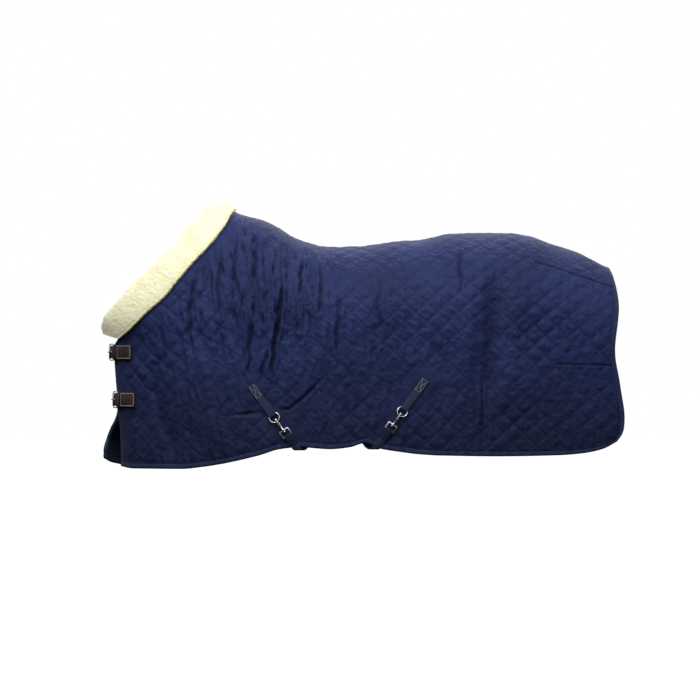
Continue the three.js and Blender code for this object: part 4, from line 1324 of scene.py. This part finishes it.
    def bind(
        self, name: str, half: RugSide, u: Array, f: Array, inward: tuple[float, float], node: str
    ) -> bpy.types.Object:
        """Folds a tape round one edge.

        Args:
            name: the piece's name.
            half: the half whose edge it is.
            u: shares along of the stations.
            f: shares down of the stations.
            inward: steps in u and f that lead away from the edge.
            node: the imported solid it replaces.

        Returns:
            The tape.
        """
        edge = half.at(u, f)
        inside = unit(half.at(u + inward[0], f + inward[1]) - edge)
        out = half.normal(u, f)
        x, z = half.flat(u, f)
        lift = half.drape(x, z)
        section = self.binding_section()
        gather = noise_at(np.stack([np.arange(len(u)) / 2.3, np.zeros(len(u))], -1), 21.0)
        rings = (
            edge[:, None]
            + inside[:, None] * section[None, :, :1]
            + out[:, None] * (section[None, :, 1:] + lift[:, None, None] + 0.5 * gather[:, None, None])
        )
        across = travel(np.vstack([section, section[:1]]))
        piece = Bench.tube(name, rings, lay_out(travel(edge), across))
        dress(piece, self.palette.trim, "trim", "rug", node)
        return piece

    def add_bindings(self, side: Side, half: RugSide) -> None:
        """Binds the front, rear and hem of one half."""
        word = side.word
        _, fs = half.even_shares(2, 260)
        upright = fs * (1 - 17 / half.lengths()[1])
        us, _ = half.even_shares(420, 2)
        n = len(upright)
        runs = {
            "front": (np.zeros(n), upright, (0.01, 0)),
            "rear": (np.ones(n), upright, (-0.01, 0)),
            "hem": (us, np.ones(len(us)), (0, -0.01)),
        }
        tapes = {
            edge: self.bind(f"{edge}_tape_{word}", half, *run, f"{edge}_binding_{word}")
            for edge, run in runs.items()
        }
        front = tapes["front"].data
        front.materials.append(self.palette.shell)
        for face in front.polygons:
            if face.center.z > FRONT_TAPE_CHANGE:
                face.material_index = 1

    def add_spine_tape(self) -> None:
        """Lays a flat tape under the spine seam, against the lining."""
        x = NECK_X + (TAIL_X - NECK_X) * np.linspace(0.012, 0.988, 160)
        section = np.array([(-20, 0.2), (-19, 0), (0, 0), (19, 0), (20, 0.2),
            (20, 1.2), (19, 1.4), (0, 1.4), (-19, 1.4), (-20, 1.2)])
        y, drop = section.T
        top = TOPLINE(x)[:, None] - self.inner - 1.4
        rings = np.stack(np.broadcast_arrays(x[:, None], y, top - drop - 0.0016 * y * y), -1)
        across = np.array([0, 1, 20, 39, 40, 41, 42, 61, 80, 81, 82], float)
        piece = Bench.tube("spine_tape", rings, lay_out(x - x[0], across))
        dress(piece, self.palette.trim, "trim", "rug", "spine_seam_tape")


@dataclass
class Collar:
    """The fleece collar round the neck opening."""

    palette: Palette
    stations: int = 420
    inside: float = 10.0
    outside: float = 16.0
    curl: float = 2.6

    def section(self) -> Array:
        """The roll in section: shares from the seam to the edge, and rises."""
        key = np.array([(-0.1, 0.42), (-0.08, 0.68), (0.02, 0.92), (0.2, 1.02), (0.5, 1.06), (0.76, 1.0),
            (0.92, 0.82), (1.0, 0.5), (0.97, 0.2), (0.86, 0.02), (0.5, -0.06), (0.2, -0.12), (0.0, -0.2),
            (-0.08, -0.14), (-0.1, 0.1)])
        looped = np.vstack([key, key[:1]])
        return even_curve(looped)(np.linspace(0, 1, 90, endpoint=False))

    def build(self) -> None:
        """Makes the collar as one padded roll with curls."""
        inner, outer = even_curve(NECK_SEAM), even_curve(COLLAR_EDGE)
        section = self.section()
        shares = np.linspace(0, 1, self.stations // 2 + 1)
        rings = np.concatenate([
            self.half_rings(side, run, inner, outer, section)
            for side, run in ((Side.NEAR, shares[:0:-1]), (Side.OFF, shares))
        ])
        length = travel(rings[:, 20])
        out = unit(rings - rings.mean(axis=1, keepdims=True))
        lumps = noise_at(rings / 11, 5.0) * 0.7 + noise_at(rings / 5.5, 9.0) * 0.5
        wavy = noise_at(np.stack([length / 60, np.zeros(len(length))], -1), 31.0)
        ends = ease(np.minimum(length, length[-1] - length) / 16)
        middle = rings.mean(axis=1, keepdims=True)
        rings = middle + (rings - middle) * (0.62 + 0.38 * np.sqrt(ends))[:, None, None]
        rings = rings + out * (self.curl * (lumps - 0.4) + 2.4 * (wavy[:, None] + 0.3))[..., None]
        across = np.arange(section.shape[0] + 1) * 2.6
        piece = Bench.tube("sherpa_collar", rings, lay_out(length, across))
        Bench.pick(piece)
        bpy.ops.object.shade_smooth()
        dress(piece, self.palette.fleece, "fleece", "rug", "fleece_collar")

    def half_rings(
        self, side: Side, shares: Array, inner: Callable, outer: Callable, section: Array
    ) -> Array:
        """Rings of one half of the roll.

        Args:
            side: the half of the rug.
            shares: shares of the way from the withers to the chest.
            inner: the curve of the seam.
            outer: the curve of the collar's free edge.
            section: shares across and rises of the roll.

        Returns:
            The rings, in millimetres.
        """
        def surface(s: Array, t: Array) -> Array:
            """Points of the neck's surface between seam and edge."""
            flat = inner(s) * (1 - t[..., None]) + outer(s) * t[..., None]
            wide = half_width(side, flat[..., 0], flat[..., 1])
            wide = np.where(s < 1e-6, 0, wide)
            return np.stack([flat[..., 0], side.value * wide, flat[..., 1]], -1)

        s, t = np.meshgrid(shares, section[:, 0], indexing="ij")
        across = surface(s, np.minimum(t + 0.05, 1)) - surface(s, np.maximum(t - 0.05, 0))
        probe = np.maximum(s, 0.02)
        along = surface(np.minimum(probe + 0.02, 1), t) - surface(probe, t)
        along[s < 1e-6] = (0, side.value, 0)
        out = unit(np.cross(across, along) * -side.value)
        depth = -self.inside + (self.outside + self.inside) * section[None, :, 1] * np.ones_like(s)
        return surface(s, t) + out * depth[..., None]


# ---------- chest straps ----------

LEATHER_STITCH = (3.9, 2.5, 1.4)
WEBBING_STITCH = (3.1, 1.7, 1.1)
LEATHER_BEVEL = 0.7
PART_BEVEL = 0.5


@dataclass
class ChestStraps:
    """Two leather straps that close the chest with roller buckles."""

    palette: Palette
    chape_width: float = 52.0
    billet_width: float = 46.0
    leather: float = 2.6
    stand_off: float = 3.2
    stitch_inset: float = 3.4
    stitch_pitch: float = 4.2

    def place(self, height: float, angle: Array, rise: float) -> tuple[Array, Array]:
        """Points round the chest at one height.

        Args:
            height: the height.
            angle: degrees from the foremost line, positive on the near side.
            rise: how far off the rug's face.

        Returns:
            Points and the directions out of the rug there.
        """
        band = height + np.array([-0.5, -0.25, 0, 0.25, 0.5]) * self.chape_width
        foremost = {side: float(CHEST_LINE[side](band).min()) for side in Side}

        def spot(degrees: Array) -> Array:
            """A point of the face itself."""
            blend = ease(0.5 + degrees / 20)
            x = foremost[Side.OFF] * (1 - blend) + foremost[Side.NEAR] * blend
            x = x + CHEST_DEPTH * (1 - np.cos(np.radians(degrees)))
            y = -HALF_WIDTH(x) * np.sin(np.radians(degrees))
            return np.stack([x, y, np.full_like(x, height)], -1)

        tangent = unit(spot(angle + 0.5) - spot(angle - 0.5))
        out = np.stack([tangent[:, 1], -tangent[:, 0], np.zeros(len(angle))], -1)
        return spot(angle) + out * (self.stand_off + rise), out

    def build(self) -> None:
        """Makes both straps with their stitching and buckles."""
        for name, height in STRAP_HEIGHTS.items():
            for part in ("chape", "patch", "billet"):
                piece = Bench.refined(f"chest_{part}_{name}", f"leather_{part}_{name}", LEATHER_BEVEL)
                dress(piece, self.palette.leather, "leather", "rug", f"chest_{part}_{name}")
            self.add_stitching(name, height)
            for part in ("frame", "roller", "prong"):
                node = f"buckle_{part}_{name}"
                piece = Bench.refined(node, f"steel_{part}_{name}", PART_BEVEL)
                dress(piece, self.palette.steel, "steel", node, node)

    def add_stitching(self, name: str, height: float) -> None:
        """Sews the borders of the chape and the patch with pale thread."""
        rise = 0.4 + self.leather
        for part, start, end in (("chape", 22.5, 38.0), ("patch", -22, -41.0)):
            fine = np.linspace(start, end, 200)
            line, _ = self.place(height, fine, 0)
            length = travel(line)
            stops = np.interp(np.arange(1, length[-1], self.stitch_pitch), length, fine)
            spots, out = self.place(height, stops, rise)
            along = np.cross(out, (0, 0, 1))
            edge = self.chape_width / 2 - self.stitch_inset
            rows, axes = [], []
            for offset in (-edge, edge):
                rows.append(spots + (0, 0, offset))
                axes.append(np.stack([along, np.tile((0.0, 0, 1), (len(spots), 1)), out], 1))
            steps = np.arange(-edge + self.stitch_pitch, edge, self.stitch_pitch)
            for limit in (start, end) if part == "chape" else (end,):
                last, last_out = self.place(height, np.array([limit]), rise)
                rows.append(last + np.stack([np.zeros_like(steps), np.zeros_like(steps), steps], -1))
                turned = np.stack([np.array((0.0, 0, 1)), np.cross(last_out[0], (0, 0, 1)), last_out[0]])
                axes.append(np.tile(turned, (len(steps), 1, 1)))
            label = f"{part}_stitching_{name}"
            piece = Bench.strew(label, np.concatenate(rows), np.concatenate(axes), LEATHER_STITCH)
            dress(piece, self.palette.pale_thread, "leather", "rug")


# ---------- belly straps ----------


@dataclass
class BellyStraps:
    """Two crossed webbing straps, each clipped to a ring on the near side."""

    palette: Palette
    webbing: float = 28.0
    tab_start: float = -27.0
    box_end: float = 24.0

    def axes(self, name: str) -> tuple[Array, Array]:
        """The middle of a box stitch and the strap's own axes there."""
        x, z, run = PATCHES[name]
        down = np.array([run * math.sin(STRAP_LEAN), 0, -math.cos(STRAP_LEAN)])
        out = np.array([0.0, -1.0, 0.0])
        return np.array([x, -BARREL - LAYER_GAP, z]), np.stack([down, np.cross(out, down), out])

    def build(self) -> None:
        """Makes every piece of both straps."""
        for name in PATCHES:
            for part, label, body in (
                ("belly_tab", "webbing_tab", "rug"),
                ("belly_strap", "webbing_strap", "rug"),
                ("strap_end", "webbing_end", f"strap_end_{name}"),
            ):
                node = f"{part}_{name}"
                piece = Bench.refined(node, f"{label}_{name}", PART_BEVEL)
                self.lay_cloth(piece, name)
                dress(piece, self.palette.webbing, "webbing", body, node)
            for part, body in (
                ("belly_ring", f"belly_ring_{name}"), ("snap_hook", f"snap_hook_{name}"),
                ("snap_gate", f"snap_gate_{name}"), ("strap_eye", f"strap_end_{name}"),
                ("strap_slider", f"strap_slider_{name}"),
            ):
                node = f"{part}_{name}"
                piece = Bench.refined(node, f"steel_{part}_{name}", PART_BEVEL)
                dress(piece, self.palette.steel, "steel", body, node)
            self.add_box_stitch(name)

    def lay_cloth(self, piece: bpy.types.Object, name: str) -> None:
        """Lays cloth coordinates along and across a strap.

        Args:
            piece: the webbing.
            name: which of the two straps it belongs to.
        """
        origin, axes = self.axes(name)
        local = (Bench.points(piece) / MM - origin) @ axes.T
        layers = piece.data.uv_layers
        layer = layers[0] if layers else layers.new(name="cloth")
        layer.name = "cloth"
        layer.data.foreach_set("uv", (local[Bench.corners(piece)][:, :2] * MM).ravel())

    def add_box_stitch(self, name: str) -> None:
        """Sews a tab down with a box and a cross."""
        origin, axes = self.axes(name)
        low, high = self.tab_start + 3, self.box_end
        side = self.webbing / 2 - 3
        corners = {"a": (low, -side), "b": (high, -side), "c": (high, side), "d": (low, side)}
        spots, turns = [], []
        for start, end in ("ab", "bc", "cd", "da", "ac", "bd"):
            p, q = np.array(corners[start]), np.array(corners[end])
            count = int(np.linalg.norm(q - p) / 3.4)
            for i in range(count):
                spots.append(p + (q - p) * (i + 0.5) / count)
                turns.append((q - p) / np.linalg.norm(q - p))
        spots, turns = np.array(spots), np.array(turns)
        face = origin + spots[:, :1] * axes[0] + spots[:, 1:] * axes[1] + 5.35 * axes[2]
        along = turns[:, :1] * axes[0] + turns[:, 1:] * axes[1]
        across = np.cross(axes[2], along)
        frames = np.stack([along, across, np.tile(axes[2], (len(spots), 1))], 1)
        piece = Bench.strew(f"box_stitch_{name}", face, frames, WEBBING_STITCH)
        dress(piece, self.palette.green_thread, "webbing", "rug")


# ---------- room, light and camera ----------

LIGHTS = (
    ("high_softbox", (-0.6, -2.5, 2.1), 2.4, 80),
    ("rear_softbox", (0.6, 2.6, 2.2), 2.6, 50),
)
AIM = Vector((0, 0, -0.35))


@dataclass
class Studio:
    """A pale floor, soft light and the camera."""

    floor_height: float = -1450.0
    camera_distance: float = 24.0
    glow_below: float = 0.015
    glow_above: float = 1.0
    frame_width: float = 2.555
    middle: tuple[float, float] = (0.0365, -0.362)

    def build(self) -> None:
        """Sets the room up."""
        Bench.clear()
        bpy.ops.mesh.primitive_plane_add(size=120, location=(0, 0, self.floor_height * MM))
        floor = bpy.context.object
        floor.name = "floor"
        f = Finish("pale_floor", 0.8, 0.2)
        grain = f.n.noise(f.solid(), 3.0, 2)
        f.set("Base Color", f.n.mix(grain, rgb(250, 250, 250), rgb(253, 253, 253)))
        f.set("Emission Color", (1.0, 1.0, 1.0, 1.0))
        f.set("Emission Strength", 0.25)
        floor.data.materials.append(f.material)
        floor.visible_diffuse = False
        floor.visible_glossy = False
        bpy.context.scene.world = self.soft_room()
        bpy.context.scene.view_settings.view_transform = "Standard"
        for light in LIGHTS:
            self.add_light(*light)
        self.add_camera()

    def soft_room(self) -> bpy.types.World:
        """Light that comes mostly from above, before a plain pale backdrop."""
        world = bpy.data.worlds.new("soft_room")
        world.use_nodes = True
        n = Nodes(world.node_tree)
        background = world.node_tree.nodes["Background"]
        parts = n.add("SeparateXYZ")
        n.feed(parts.inputs[0], n.add("TexCoord").outputs["Generated"])
        glow = n.ramp(parts.outputs[2], -0.18, 0.8, self.glow_below, self.glow_above)
        seen = n.add("LightPath").outputs["Is Camera Ray"]
        n.feed(background.inputs["Color"], (1.0, 1.0, 1.0, 1.0))
        strength = n.math("ADD", n.math("MULTIPLY", seen, n.math("SUBTRACT", 1.0, glow)), glow)
        n.feed(background.inputs["Strength"], strength)
        return world

    def add_light(self, name: str, place: tuple[float, float, float], size: float, power: float) -> None:
        """Adds a soft light that faces the rug."""
        Bench.clear()
        bpy.ops.object.light_add(type="AREA", location=place)
        light = bpy.context.object
        light.name = name
        light.data.size = size
        light.data.energy = power
        light.rotation_euler = (AIM - Vector(place)).to_track_quat("-Z", "Y").to_euler()

    def add_camera(self) -> None:
        """Adds the camera, level with the rug's middle on the near side."""
        bpy.ops.object.camera_add(
            location=(self.middle[0], -self.camera_distance - 0.2, self.middle[1]),
            rotation=(math.pi / 2, 0, 0),
        )
        camera = bpy.context.object
        camera.data.sensor_width = 36
        camera.data.lens = 36 * self.camera_distance / self.frame_width
        camera.data.clip_end = 400
        bpy.context.scene.camera = camera


def main() -> None:
    """Builds the rug and the room round it."""
    logging.basicConfig(level=logging.INFO, format="%(message)s")
    palette = Palette()
    Quilt(palette).build()
    Collar(palette).build()
    ChestStraps(palette).build()
    BellyStraps(palette).build()
    Studio().build()


if __name__ == "__main__":
    main()
